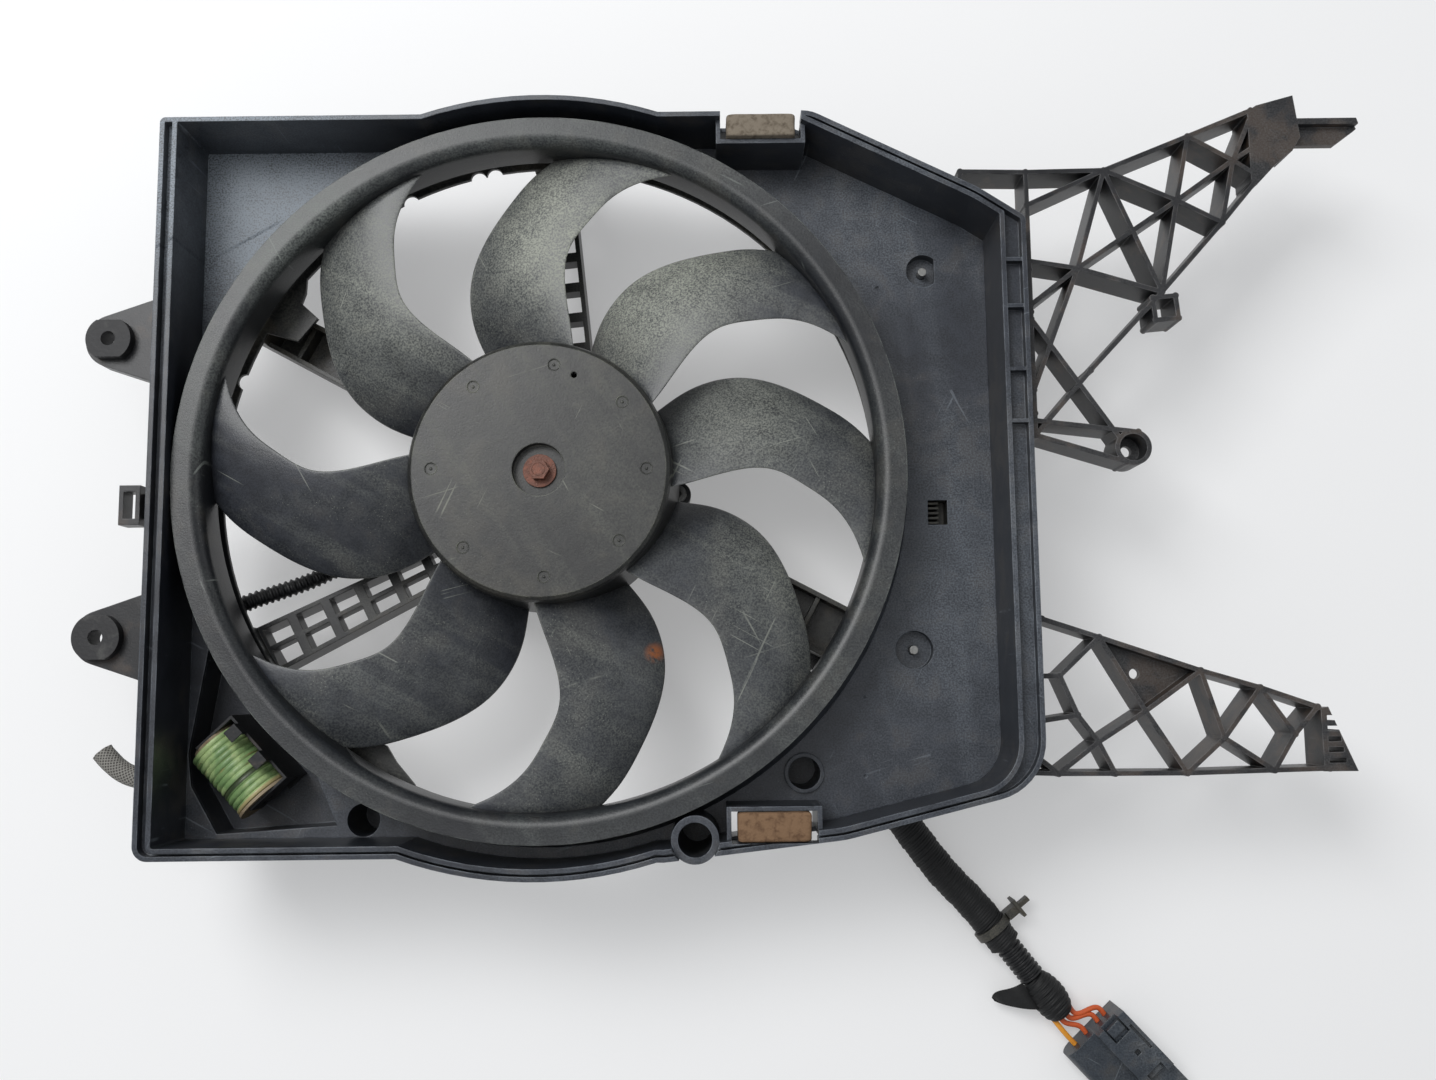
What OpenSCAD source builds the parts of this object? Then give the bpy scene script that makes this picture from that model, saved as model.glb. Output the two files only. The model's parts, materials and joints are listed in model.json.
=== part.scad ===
// Electric radiator cooling fan with its moulded shroud, motor, resistor and harness.
// Origin: on the fan axis, in the rest plane of the motor's flat rear face.
// X runs along the long side, Y up the radiator, Z from the motor towards the radiator.

/* [Shroud outline] */
// Gap between the bell and the left side of the rim
left_gap = 5; // [3:0.5:11]
// Distance from the bell to the right side of the rim
right_reach = 62; // [52:1:82]
// How far the top side of the rim cuts into the bell
top_cut = 5.5; // [1:0.5:7]
// Gap between the bell and the bottom side of the rim
bottom_gap = 0; // [-1:0.5:5]
// Gap between the bell and the round bulge at the top
bulge_top_gap = 5; // [3:0.5:11]
// Gap between the bell and the round bulge at the bottom
bulge_bottom_gap = 12.5; // [10:0.5:19]
// Width of the rim on the left side
rim_left_w = 9.5; // [8:0.1:9.6]
// Width of the rim on the right side
rim_right_w = 14; // [9:0.5:18]
// Width of the rim on the bottom and on the slopes
rim_low_w = 6.5; // [6:0.1:8]

/* [Shroud section] */
// Thickness of every moulded wall
wall_t = 2.6; // [2:0.1:3]
// Height of the front of the tray floor
floor_z = 62; // [58:0.5:66]
// Height of the front of the rim
rim_z = 106; // [104:0.5:112]
// Depth of the groove in the rim
rim_groove = 6; // [3:0.5:8]
// Depth of the outer lip of the rim
rim_lip_depth = 14; // [10:0.5:15]
// Inner radius of the duct around the fan band
duct_r = 188.5; // [187:0.1:189]
// Width of the bell, from the duct to the tray floor
bell_w = 14.5; // [13.5:0.1:14.9]
// Depth of the resistor well below the tray floor
well_depth = 26; // [24:0.5:28]

/* [Mounts] */
// Distance between the two ear holes
ear_pitch = 166; // [150:1:180]
// Distance of the ear holes from the left side of the rim
ear_reach = 34; // [30:0.5:40]
// Height of the front of the ear plates
ear_z = 78; // [74:0.5:84]
// Radius of the hole in each ear bush
bush_hole_r = 4; // [3:0.1:5]
// Radius of the hole in the upper arm's eye
eye_hole_r = 3; // [2:0.1:4]
// Radius of the hole in the lower arm's plate
plate_hole_r = 2.75; // [2:0.05:4]
// Radius of the bore of the tube boss
tube_bore_r = 9; // [7:0.1:9.5]
// Height of the closed rear ends of the three deep bosses
boss_low_z = 20; // [14:0.5:26]
// Height of the front of both lattice arms
arm_z = 90; // [86:0.5:91]
// Depth of the ribs of both lattice arms
arm_depth = 22; // [16:0.5:26]
// Thickness of the ribs of both lattice arms
arm_rib = 2.6; // [2:0.1:3.4]

/* [Fan] */
// Radius of the hub's front face
hub_r = 70.5; // [66:0.5:71]
// Height of the hub's front face
hub_z = 101.5; // [100:0.5:104]
// Running gap between the fan band and the duct
band_gap = 3.9; // [2.9:0.1:5.9]
// Thickness of the fan band
band_t = 2.6; // [2:0.1:3]
// Depth of the fan band
band_depth = 26; // [22:0.5:28]
// How far the band's front lip reaches over the duct
lip_over = 9.5; // [8:0.1:9.7]
// Height of the band's front lip
lip_z = 100; // [99:0.5:102]
// Thickness of the blades
blade_t = 2.6; // [2:0.1:3.5]
// Height of the blades' rear edge at the hub
blade_root_z = 58; // [56:0.5:62]
// Height of the blades' rear edge at the band
blade_tip_z = 77; // [75:0.5:80]
// Radius of the recess around the hub nut
nut_recess_r = 14.3; // [12:0.1:16]
// Width of the hub nut across its flats
nut_af = 10; // [9.5:0.1:12]

/* [Motor] */
// Outer radius of the motor can
can_r = 50; // [47:0.5:51]
// Thickness of the motor can
can_t = 2.2; // [1.6:0.1:2.6]
// Height of the can's front
can_z = 78.5; // [77:0.5:79.5]
// Thickness of the rear cover
cover_z = 12; // [11.5:0.1:12.5]
// Radius of the shaft
shaft_r = 4; // [3.5:0.1:4.5]
// Outer radius of the two bearings
bearing_r = 11; // [9:0.5:12]
// Width of the two bearings
bearing_w = 7; // [6:0.5:7.5]
// Running gap in the bearings
bearing_gap = 0.05; // [0.02:0.01:0.09]
// Radius of the armature core
core_r = 38.5; // [34:0.5:39.2]
// Inner radius of the magnets
magnet_r = 40; // [39.6:0.1:42]
// Radius of the commutator
commutator_r = 12; // [10:0.5:13]
// How far the motor's lug screws sit out from the motor can
lug_reach = 23; // [22.5:0.1:24]
// Height of the rear of the motor lugs
lug_z = 36; // [35:0.5:38]

/* [Resistor] */
// Outer radius of the resistor's coat
coat_r = 16.5; // [14:0.1:17.5]
// Length of the resistor's coat
coat_len = 40; // [34:0.5:42]
// Radius of the resistor's ceramic core
ceramic_r = 13; // [10:0.5:13.3]
// Number of winding turns seen in the coat
coat_turns = 12; // [8:1:14]

/* [Pads] */
// Thickness of the pads along Z
pad_h = 20; // [14:0.5:22]
// How far the pads stay behind the front of the rim
pad_back = 2; // [1:0.5:4]

/* [Harness] */
// Radius of the taped conduit
conduit_r = 9.5; // [8:0.1:10.3]
// Radius of the bare corrugated conduit
corrugated_r = 7.5; // [6:0.1:8]
// Radius of the wrapped tape end
tape_r = 10.5; // [9.5:0.1:11]
// Radius of each wire
wire_r = 1.5; // [1:0.1:1.6]
// Width of the connector
plug_w = 41; // [38:0.5:44]
// Height of the connector's body
plug_h = 18; // [16:0.5:20]
// Length of the connector
plug_len = 60; // [56:0.5:70]

/* [Hidden] */

$fn = 96;
eps = 0.01;
// Gap left between pieces that are dropped in place
fit_gap = 0.3;
shroud_grey = [0.24, 0.26, 0.29];
fan_grey = [0.34, 0.35, 0.35];
steel_grey = [0.62, 0.63, 0.65];

// Radii and sides that follow the duct
bell_r = duct_r + bell_w;
band_r = duct_r - band_gap - band_t;
lip_r = duct_r + lip_over;
left_x = -bell_r - left_gap;
right_x = bell_r + right_reach;
top_y = bell_r - top_cut;
bottom_y = -bell_r - bottom_gap;
bulge_top_r = bell_r + bulge_top_gap;
bulge_bottom_r = bell_r + bulge_bottom_gap;

// Rim, edge by edge, counter-clockwise from the bottom left
slope_x = 149;
slope_mid = [right_x - 25, top_y - 45];
foot_x = 66;
foot_drop = 3.4;
outline_points = [
    [left_x, bottom_y], [-60, bottom_y], [foot_x, bottom_y - foot_drop],
    [160, bottom_y + 7], [right_x, bottom_y + 32.6],
    [right_x, top_y - 61.5], slope_mid, [slope_x, top_y], [left_x, top_y]];
outline_radii = [8, 0, 0, 60, 32, 4, 60, 20, 3];
rim_widths = [rim_low_w, rim_low_w, rim_low_w, rim_low_w, rim_right_w,
    rim_low_w, rim_low_w, wall_t, rim_left_w];
no_inset = [for (w = rim_widths) 0];
lip_inset = [for (w = rim_widths) wall_t];
wall_outer = [for (w = rim_widths) w - wall_t];

// Gussets across the groove of the right rim
gusset_ys = [for (d = [85.4, 111.3, 146.2, 174.6]) top_y - d];
gusset_t = 2;

// Section heights
floor_back = floor_z - wall_t;
groove_z = rim_z - rim_groove;
bell_top_z = 90.5;
duct_top_z = 92;
duct_foot_z = floor_back - 2.4;
duct_outer_r = duct_r + wall_t;
well_floor_z = floor_back - well_depth;

// Ears, arms and bosses
ear_mid_y = -3.4;
ear_x = left_x - ear_reach;
ear_ys = [ear_mid_y + ear_pitch / 2, ear_mid_y - ear_pitch / 2];
ear_r = 15;
ear_t = 4;
arm_x = right_x + 5;
arm_joint_r = arm_rib * 0.7;
eye_off = [53, -186.9];
eye_at = [arm_x, top_y] + eye_off;
eye_r = 10;
plate_hole_at = [arm_x + 50.5, bottom_y + 90.7];
tube_at = [82, bottom_y + 7];
tube_r = 12.6;
bore_at = polar(bell_r + 14.04, -49.24);
bore_r = 8.8;
drain_at = polar(bell_r + 9.47, -118.23);
drain_r = 9;
boss_rim = 2;
// Small dents that the mould's pins left in the floor
dot_points = [[right_x - 89, bottom_y + 79.8], [right_x - 89.5, bottom_y + 36.4],
    [right_x - 75.9, top_y - 87.2]];
d_recess_at = [right_x - 49.6, top_y - 77.5];
d_recess_r = 9.5;
round_recess_at = [right_x - 60.5, bottom_y + 105.5];
round_recess_r = 10.6;
recess_depth = 8;
window_at = [right_x - 45.2, -20.4];
window_size = [11, 14];

// Pockets and pads, as [x0, x1, y0, y1] of the open pocket
pocket_t = 2.4;
top_pocket = [99.5, 144, top_y - 13.5, top_y];
bottom_pocket = [101, 146, bottom_y + 5.5, bottom_y + 21.5];
pad_end_gap = 3;
pad_z = rim_z - pad_back;
pad_low_z = pad_z - pad_h;

// Resistor well and resistor
corner = [left_x, bottom_y];
well_points = [corner + [20, 115], corner + [9.8, 53], corner + [12, 35], corner + [27, 9],
    corner + [93, 13], corner + [58, 93]];
well_arc_r = bell_r + 1;
res_at = polar(bell_r + 29.48, 223.118);
res_angle = -47.3;
res_z = 60;

// Fan
hub_t = 4.5;
hub_wall = 3;
hub_foot_r = hub_r + 3.5;
hub_foot_z = 50;
recess_floor_z = hub_z - 6;
recess_t = 2.5;
nut_h = 5;
washer_t = 1.5;
lip_t = 2.4;
lip_turn = 7;
// Radii of the hollow behind the lip and of the round from the lip into the band
lip_fillet = 7;
lip_round = 7.3;
tip_angles = [22, 66, 111, 161.5, 211.5, 257.5, 300.5, 343];
blade_front_z = lip_z - 8;
blade_camber = 4;
// How far a blade runs into the hub and the band that it is moulded with
blade_sink = 1.2;
// Angle of the blade's front edge, then of its rear edge, against the span from hub to band
front_sweep = [[0, 9.5], [0.2, 15], [0.36, 17.4], [0.5, 17], [0.65, 13.5], [0.8, 9.5], [0.92, 4.5], [1, 0]];
rear_sweep = [[0, 50], [0.18, 50], [0.33, 48], [0.5, 43.5], [0.65, 37.5], [0.8, 31], [0.92, 26], [1, 22]];
span_steps = 8;
chord_steps = 6;

// Motor
boss_wall = 2.6;
lug_angles = [-4, 116, 236];
lug_t = 3;
lug_w = 15;
lug_hole_r = 2.6;
lug_r = can_r + lug_reach;
carrier_in_r = can_r + 4;
carrier_out_r = lug_r - 2;
carrier_low_z = 24;
carrier_high_z = 46;
bearing_low_z = 3;
bearing_high_z = can_z - bearing_w;
magnet_low_z = cover_z + 12;
magnet_high_z = can_z - 10;
core_low_z = cover_z + 21;
core_high_z = can_z - 17;
winding_h = 6.5;
commutator_low_z = cover_z + 1;
commutator_high_z = core_low_z - winding_h - 1;
brush_low_z = cover_z + 3;
brush_size = [14, 8, 8];

// Routes, as points chosen by hand
cord_z = 11;
tail_angle = -51.73;
conduit_path = [[111.3, -59.2, 14], [125.4, -66.7, 14], [141, -79, 13.5], [156, -98, 12.5],
    [168, -122, 11.5], [179, -150, cord_z], [190, -174, cord_z], [200, -192, cord_z],
    [212, -209, cord_z], [226, -227, cord_z], [241, -243, cord_z], [251.4, -255.4, cord_z],
    [260, -266.3, cord_z]];
held_path = [concat(polar(can_r + 5.3, -28), [14]), [84, -44.7, 14], conduit_path[0]];
lead_path = [concat(polar(can_r + 3, 189), [19]), concat(polar(can_r + 12, 189), [19]), [-78, -17, 17],
    [-105, -30, 16], [-140, -50, 24], concat(corner + [40, 141], [36]),
    concat(corner + [25, 131], [44]), concat(corner + [21, 119], [46])];
tail_path = [for (p = [[8.7, 41, 48], [-6, 39.2, 48], [-21, 39, 49], [-33, 44, 50], [-43, 54, 50]])
    [corner.x + p[0], corner.y + p[1], p[2]]];
lead_r = 5;
sleeve_r = 6;
corrugated_len = 24;
tape_len = 29;
plug_at = [307.5, -315.7];
plug_angle = -47;
wire_ys = [12, 6.5, -3, -12];

// Geometry helpers

function unit(v) = v / norm(v);
function edge_normal(p, q) = let (d = unit(q - p)) [-d.y, d.x];
function polar(r, a) = [r * cos(a), r * sin(a)];

// Moves a corner inwards by d0 from the edge before it and by d1 from the edge after it
function inset_corner(p, n0, n1, d0, d1) =
    let (det = n0.x * n1.y - n0.y * n1.x)
    p + [(d0 * n1.y - d1 * n0.y) / det, (n0.x * d1 - n1.x * d0) / det];

function inset_points(pts, insets) =
    let (n = len(pts))
    [for (i = [0:n - 1])
        let (before = pts[(i + n - 1) % n], here = pts[i], after = pts[(i + 1) % n])
        inset_corner(here, edge_normal(before, here), edge_normal(here, after),
            insets[(i + n - 1) % n], insets[i])];

// Arc that rounds the corner b between its neighbours a and c
function corner_arc(a, b, c, r) =
    let (u = unit(a - b), v = unit(c - b), half = acos(u * v) / 2, turn = 180 - 2 * half,
        centre = b + unit(u + v) * r / sin(half), first = b + u * r / tan(half) - centre,
        start = atan2(first.y, first.x), n = max(2, ceil(turn / 9)))
    [for (i = [0:n]) centre + polar(r, start + turn * i / n)];

function rounded_points(pts, radii) =
    let (n = len(pts))
    [for (i = [0:n - 1])
        let (arc = radii[i] > 0
            ? corner_arc(pts[(i + n - 1) % n], pts[i], pts[(i + 1) % n], radii[i]) : [pts[i]])
        each arc];

// Point on the circle about c where a line from p touches it
function touch_point(p, c, r, side) =
    let (d = p - c, base = atan2(d.y, d.x))
    c + polar(r, base + side * acos(r / norm(d)));

function ring_points(p, t, r, n) =
    let (across = unit(cross(t, [0, 0, 1])), up = cross(across, t))
    [for (k = [0:n - 1]) p + r * (cos(360 * k / n) * across + sin(360 * k / n) * up)];

// Tube swept along a route, with one ring at each of its points
module tube(path, r, n) {
    last = len(path) - 1;
    tangents = [for (i = [0:last]) unit(path[min(i + 1, last)] - path[max(i - 1, 0)])];
    rings = [for (i = [0:last]) each ring_points(path[i], tangents[i], r, n)];
    sides = [for (i = [0:last - 1], k = [0:n - 1])
        let (a = i * n + k, b = i * n + (k + 1) % n)
        each [[a, b, b + n], [a, b + n, a + n]]];
    caps = [[for (k = [n - 1:-1:0]) k], [for (k = [0:n - 1]) last * n + k]];
    polyhedron(points = rings, faces = concat(sides, caps));
}

// Shroud outline

function outline_at(insets) =
    let (corners = inset_points(outline_points, insets), n = len(insets))
    rounded_points(corners, [for (i = [0:n - 1])
        outline_radii[i] > 0
            ? max(outline_radii[i] - min(insets[i], insets[(i + n - 1) % n]), 0.6) : 0]);

// Round part of radius r - inset that stands out of the side at height y
module bulge(r, inset, y) {
    half = sqrt(r * r - y * y) + 1;
    intersection() {
        circle(r = r - inset, $fn = 240);
        translate([-half, y > 0 ? 0 : -r - 1]) square([2 * half, r + 1]);
    }
}

module outline(insets) {
    polygon(outline_at(insets));
    bulge(bulge_top_r, insets[7], top_y);
    bulge(bulge_bottom_r, insets[0], bottom_y);
}

module slab(z0, z1) {
    translate([0, 0, z0]) linear_extrude(z1 - z0) children();
}

module pocket_rect(p, grow) {
    translate([p[0] - grow, p[2] - grow]) square([p[1] - p[0] + 2 * grow, p[3] - p[2] + 2 * grow]);
}

module at(p) {
    translate([p.x, p.y, 0]) children();
}

module well_area(grow) {
    difference() {
        polygon(inset_points(well_points, [for (p = well_points) -grow]));
        circle(r = well_arc_r + wall_t - grow, $fn = 240);
    }
}

module shroud_wall() {
    color(shroud_grey)
    difference() {
        union() {
            slab(floor_back, rim_z) difference() {
                outline(wall_outer);
                outline(rim_widths);
            }
            slab(groove_z - 2, groove_z) difference() {
                outline(no_inset);
                outline(rim_widths);
            }
            slab(rim_z - rim_lip_depth, rim_z) difference() {
                outline(no_inset);
                outline(lip_inset);
            }
            for (y = gusset_ys)
                translate([right_x - rim_right_w + wall_t / 2, y - gusset_t / 2, groove_z - 1])
                    cube([rim_right_w - wall_t, gusset_t, rim_groove + 0.5]);
        }
        for (p = [top_pocket, bottom_pocket])
            translate([p[0], p[2], pad_low_z])
                cube([p[1] - p[0], p[3] - p[2] + eps, rim_z - pad_low_z + 1]);
        at(tube_at) cylinder(r = tube_r, h = rim_z + 1);
    }
}

module cup(p, r, depth) {
    difference() {
        at(p) slab(floor_back - depth, floor_back) circle(r = r + wall_t);
        at(p) slab(floor_back - depth + wall_t, floor_z) circle(r = r);
        at(p) slab(floor_back - depth - 1, floor_z) circle(r = screw_hole_r);
    }
}

screw_r = 2.4;
screw_hole_r = screw_r + 0.2;

module tray_floor() {
    slab(floor_back, floor_z) difference() {
        outline(rim_widths);
        circle(r = bell_r, $fn = 240);
        well_area(0);
        at(d_recess_at) difference() {
            circle(r = d_recess_r);
            translate([d_recess_r - 3, -d_recess_r]) square([4, 2 * d_recess_r]);
        }
        at(round_recess_at) circle(r = round_recess_r);
        at(window_at) square(window_size, center = true);
        at(bore_at) circle(r = bore_r + boss_rim);
        at(drain_at) circle(r = drain_r);
        at(tube_at) circle(r = tube_r);
        for (p = [top_pocket, bottom_pocket]) pocket_rect(p, 0);
    }
}

// Deep boss, open at the front and closed at the rear
module deep_boss(p, outer, inner, front) {
    at(p) difference() {
        slab(boss_low_z, front) circle(r = outer);
        slab(boss_low_z + wall_t, front + 1) circle(r = inner);
    }
}

module tray_bosses() {
    color(shroud_grey) {
        deep_boss(bore_at, bore_r + boss_rim, bore_r, floor_z + 2);
        deep_boss(drain_at, drain_r + boss_rim, drain_r, floor_back);
        deep_boss(tube_at, tube_r, tube_bore_r, lip_z - 2);
    }
}

// Slanted ring that rises from the tray floor to the duct
module tray_bell() {
    color(shroud_grey)
    intersection() {
        rotate_extrude($fn = 240) polygon([
            [bell_r - 2.8, floor_back], [bell_r, floor_back], [bell_r, floor_z],
            [duct_outer_r + 2.8, bell_top_z], [duct_outer_r, bell_top_z],
            [duct_outer_r, bell_top_z - 3]]);
        slab(0, rim_z) difference() {
            outline(rim_widths);
            at(tube_at) circle(r = tube_r);
        }
    }
}

module tray_ribs() {
    rib_h = 9;
    for (y = [40, 78])
        translate([duct_outer_r + 14, y, floor_back - rib_h])
            cube([right_x - rim_right_w - duct_outer_r - 16, wall_t, rib_h]);
    for (y = [-60, -128])
        translate([duct_outer_r + 16, y, floor_back - rib_h])
            cube([right_x - rim_right_w - duct_outer_r - 22, wall_t, rib_h]);
}

module shroud_tray() {
    color(shroud_grey)
    union() {
        difference() {
            tray_floor();
            for (p = dot_points) at(p) slab(floor_z - 1, floor_z + 1) circle(r = 1, $fn = 24);
        }
        cup(d_recess_at, d_recess_r, recess_depth);
        cup(round_recess_at, round_recess_r, recess_depth);
        tray_ribs();
    }
}

// The rear flange's notches and lug are drawn at drawn_r and follow the duct in proportion
drawn_r = 188.5;
flange_scale = duct_r / drawn_r;
flange_notches = [100, 103, 116, 161];
flange_lugs = [[[6, 152], [6, 137], [-3, 139], [-9, 141.5], [-11, 143.5], [-24, 144], [-22, 150]],
    [[6, 250], [-4.7, 246.4], [-11.2, 241.8], [-16.4, 238.8], [-14.5, 234], [6, 228]]];

module fan_duct() {
    rear_r = duct_r - 4 * flange_scale;
    wall_middle = (duct_r + duct_outer_r) / 2;
    color(shroud_grey)
    union() {
        rotate_extrude($fn = 240) polygon([
            [duct_r, duct_foot_z], [duct_outer_r, duct_foot_z], [duct_outer_r, bell_top_z],
            [duct_outer_r + 2.8, bell_top_z], [duct_outer_r + 2, duct_top_z - 0.4],
            [duct_outer_r, duct_top_z], [duct_r + 0.8, duct_top_z - 0.4], [duct_r, bell_top_z]]);
        slab(duct_foot_z, duct_foot_z + wall_t) difference() {
            circle(r = wall_middle, $fn = 240);
            circle(r = rear_r, $fn = 240);
            for (a = flange_notches) at(polar(rear_r - flange_scale, a))
                circle(r = 4.5 * flange_scale);
        }
        slab(duct_foot_z, duct_foot_z + wall_t) intersection() {
            circle(r = wall_middle, $fn = 240);
            for (lug = flange_lugs)
                polygon([for (p = lug) polar(duct_r + p.x * flange_scale, p.y)]);
        }
    }
}

module resistor_well() {
    color(shroud_grey)
    union() {
        slab(well_floor_z, floor_back) difference() {
            well_area(wall_t - 0.2);
            well_area(0);
        }
        difference() {
            slab(well_floor_z, well_floor_z + wall_t) well_area(wall_t - 0.2);
            for (x = [-16, 16]) res_frame() translate([x, 12, -res_z])
                cylinder(r = 2.1, h = res_z);
        }
    }
}

// Motor carrier: two ladder arms, two solid arms, a ring and its screw bosses

// Each arm as [outer angle, inner angle, outer width, inner width]
arm_top = [90.4, 78.7, 21, 21];
arm_low_left = [209.5, 216.7, 30, 21.5];
arm_low_right = [-28, -28, 31.6, 31.6];
arm_up_left = [149.6, 144.9, 24, 27];
carrier_arms = [arm_top, arm_low_left, arm_low_right, arm_up_left];
post_r = bell_r + 0.4;

function arm_end(a, outer) =
    outer ? polar(post_r + 8, a[0]) : polar(carrier_out_r - 3, a[1]);

module arm_area(a, shrink) {
    p = arm_end(a, true);
    q = arm_end(a, false);
    n = edge_normal(p, q);
    polygon([p + n * (a[2] / 2 - shrink), q + n * (a[3] / 2 - shrink),
        q - n * (a[3] / 2 - shrink), p - n * (a[2] / 2 - shrink)]);
}

// Strips across an arm, at even steps from its outer to its inner end
module arm_rungs(a, count, w) {
    p = arm_end(a, true);
    q = arm_end(a, false);
    d = q - p;
    for (i = [1:count])
        translate(p + d * (i + 0.2) / (count + 1)) rotate(atan2(d.y, d.x))
            square([w, max(a[2], a[3]) + 4], center = true);
}

module arm_spine(a) {
    p = arm_end(a, true);
    q = arm_end(a, false);
    d = q - p;
    translate(p) rotate(atan2(d.y, d.x)) translate([0, -wall_t / 2]) square([norm(d), wall_t]);
}

module arm_rails(a) {
    difference() {
        arm_area(a, 0);
        arm_area(a, wall_t);
    }
}

module ladder_arm(a, count, spine) {
    slab(carrier_low_z, carrier_high_z) arm_rails(a);
    slab(carrier_high_z - 12, carrier_high_z) intersection() {
        arm_area(a, 0);
        arm_rungs(a, count, 5.5);
    }
    if (spine) slab(carrier_high_z - 12, carrier_high_z) arm_spine(a);
}

module solid_arm(a, count) {
    slab(carrier_low_z, carrier_high_z) arm_rails(a);
    slab(carrier_low_z + 4, carrier_low_z + 4 + wall_t) arm_area(a, 0);
    slab(carrier_low_z + 4, carrier_high_z - 3) intersection() {
        arm_area(a, 0);
        arm_rungs(a, count, wall_t);
    }
}

module carrier_posts() {
    intersection() {
        rotate_extrude($fn = 240) polygon([
            [duct_r - 2.5, carrier_low_z], [post_r, carrier_low_z], [post_r, floor_back],
            [duct_outer_r + 0.5, floor_back], [duct_outer_r + 0.5, duct_foot_z],
            [duct_r - 2.5, duct_foot_z]]);
        slab(0, rim_z) for (a = carrier_arms) arm_area(a, 0);
    }
}

module carrier_ring() {
    rotate_extrude($fn = 160) polygon([
        [carrier_in_r, carrier_low_z + 6], [carrier_out_r - wall_t, carrier_low_z + 6],
        [carrier_out_r - wall_t, carrier_low_z], [carrier_out_r, carrier_low_z],
        [carrier_out_r, carrier_high_z], [carrier_out_r - wall_t, carrier_high_z],
        [carrier_out_r - wall_t, carrier_low_z + 10], [carrier_in_r + 2.4, carrier_low_z + 10],
        [carrier_in_r + 2.4, carrier_high_z - 8], [carrier_in_r, carrier_high_z - 8]]);
}

module motor_carrier() {
    color(shroud_grey)
    difference() {
        union() {
            difference() {
                union() {
                    ladder_arm(arm_top, 7, false);
                    ladder_arm(arm_low_left, 6, true);
                    solid_arm(arm_low_right, 6);
                    solid_arm(arm_up_left, 3);
                }
                slab(0, rim_z) circle(r = carrier_out_r - 1, $fn = 160);
                slab(0, rim_z) difference() {
                    circle(r = 400);
                    circle(r = duct_r - 2, $fn = 240);
                }
            }
            carrier_posts();
            difference() {
                carrier_ring();
                for (a = lug_angles)
                    rotate([0, 0, a]) translate([carrier_in_r - 2, -lug_w / 2 - 1, lug_z - 1])
                        cube([40, lug_w + 2, carrier_high_z]);
            }
            for (a = lug_angles) at(polar(lug_r, a)) slab(carrier_low_z, lug_z) circle(r = 7);
        }
        for (a = lug_angles) at(polar(lug_r, a)) slab(0, rim_z) circle(r = screw_hole_r);
    }
}

// Lattice arms at the right

module rib(p, q) {
    d = q - p;
    translate(p) rotate(atan2(d.y, d.x)) translate([0, -arm_rib / 2]) square([norm(d), arm_rib]);
}

module chain(pts) {
    for (i = [0:len(pts) - 2]) rib(pts[i], pts[i + 1]);
    for (p = pts) translate(p) circle(r = arm_joint_r, $fn = 24);
}

module upper_lattice() {
    n1 = [43.8, -29.6];
    n2 = [26.8, -85.9];
    n3 = [83.8, -47.5];
    n4 = [91.7, -10.3];
    n5 = [116.4, -24.6];
    n6 = [108.5, -60.5];
    n7 = [73, -99.9];
    loop_at = [74.5, -109];
    chain([[-38, -51.5], [-36.6, -29.5], [0, -30.2], n1, n4, [128, 4.5]]);
    chain([[0, -30.2], [0, -179.6]]);
    chain([[128, -37.5], n6, n7, [31.6, -143.7], [0, -179.6]]);
    chain([[0, -49.3], n1, n2, [0, -81.5]]);
    chain([n2, n7, n1, n3, n2]);
    chain([n7, n3, n4, n5, n6, n3, n5]);
    chain([n5, [128, 1.5]]);
    chain([n5, [129, -16.5]]);
    chain([n5, [128, -32.5]]);
    chain([[0, -106.5], n2, [0, -154.5]]);
    chain([[0, -114.5], [eye_off.x - 7, eye_off.y + 5]]);
    chain([[0, -171.5], [eye_off.x + 3, eye_off.y + 8.5]]);
    chain([[0, -179.6], [eye_off.x - 4, eye_off.y - 8]]);
    chain([for (k = [0:4]) loop_at + polar(9, 50 + 90 * k)]);
    for (y = [-167.5, -142.5, -110.5, -86.5]) chain([[-22, y], [0, y]]);
}

module end_block_area() {
    polygon([[126, 4], [131, 7.3], [152, 13], [155, -11.5],
        [150, -19.5], [140, -27.5], [130, -38], [126, -36.5]]);
}

module upper_arm() {
    low = arm_z - arm_depth;
    color(shroud_grey)
    difference() {
        translate([arm_x, top_y, 0]) union() {
            slab(low, arm_z) difference() {
                upper_lattice();
                translate(eye_off) circle(r = eye_r - arm_rib);
            }
            slab(low, arm_z) translate(eye_off) difference() {
                circle(r = eye_r);
                circle(r = eye_r - arm_rib);
            }
            slab(low + 4, low + 8) translate(eye_off) circle(r = eye_r - 1);
            slab(arm_z - 3, arm_z) end_block_area();
            slab(low, arm_z) difference() {
                end_block_area();
                translate([129, -25.5]) square([20, 27]);
            }
            slab(low + 13, low + 17) polygon([[150, -14.5], [176, -14.5], [189, -5],
                [187, -0.5], [150, -0.5]]);
            slab(low + 13, arm_z) polygon([[150, -3.9], [188, -3.9], [187, -0.5],
                [150, -0.5]]);
            slab(low + 3, low + 10) polygon([[150, -4.5], [178, -4.5], [178, 3],
                [150, 3]]);
        }
        slab(0, rim_z) outline(wall_outer);
        at(eye_at) slab(0, rim_z) circle(r = eye_hole_r);
    }
}

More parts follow.
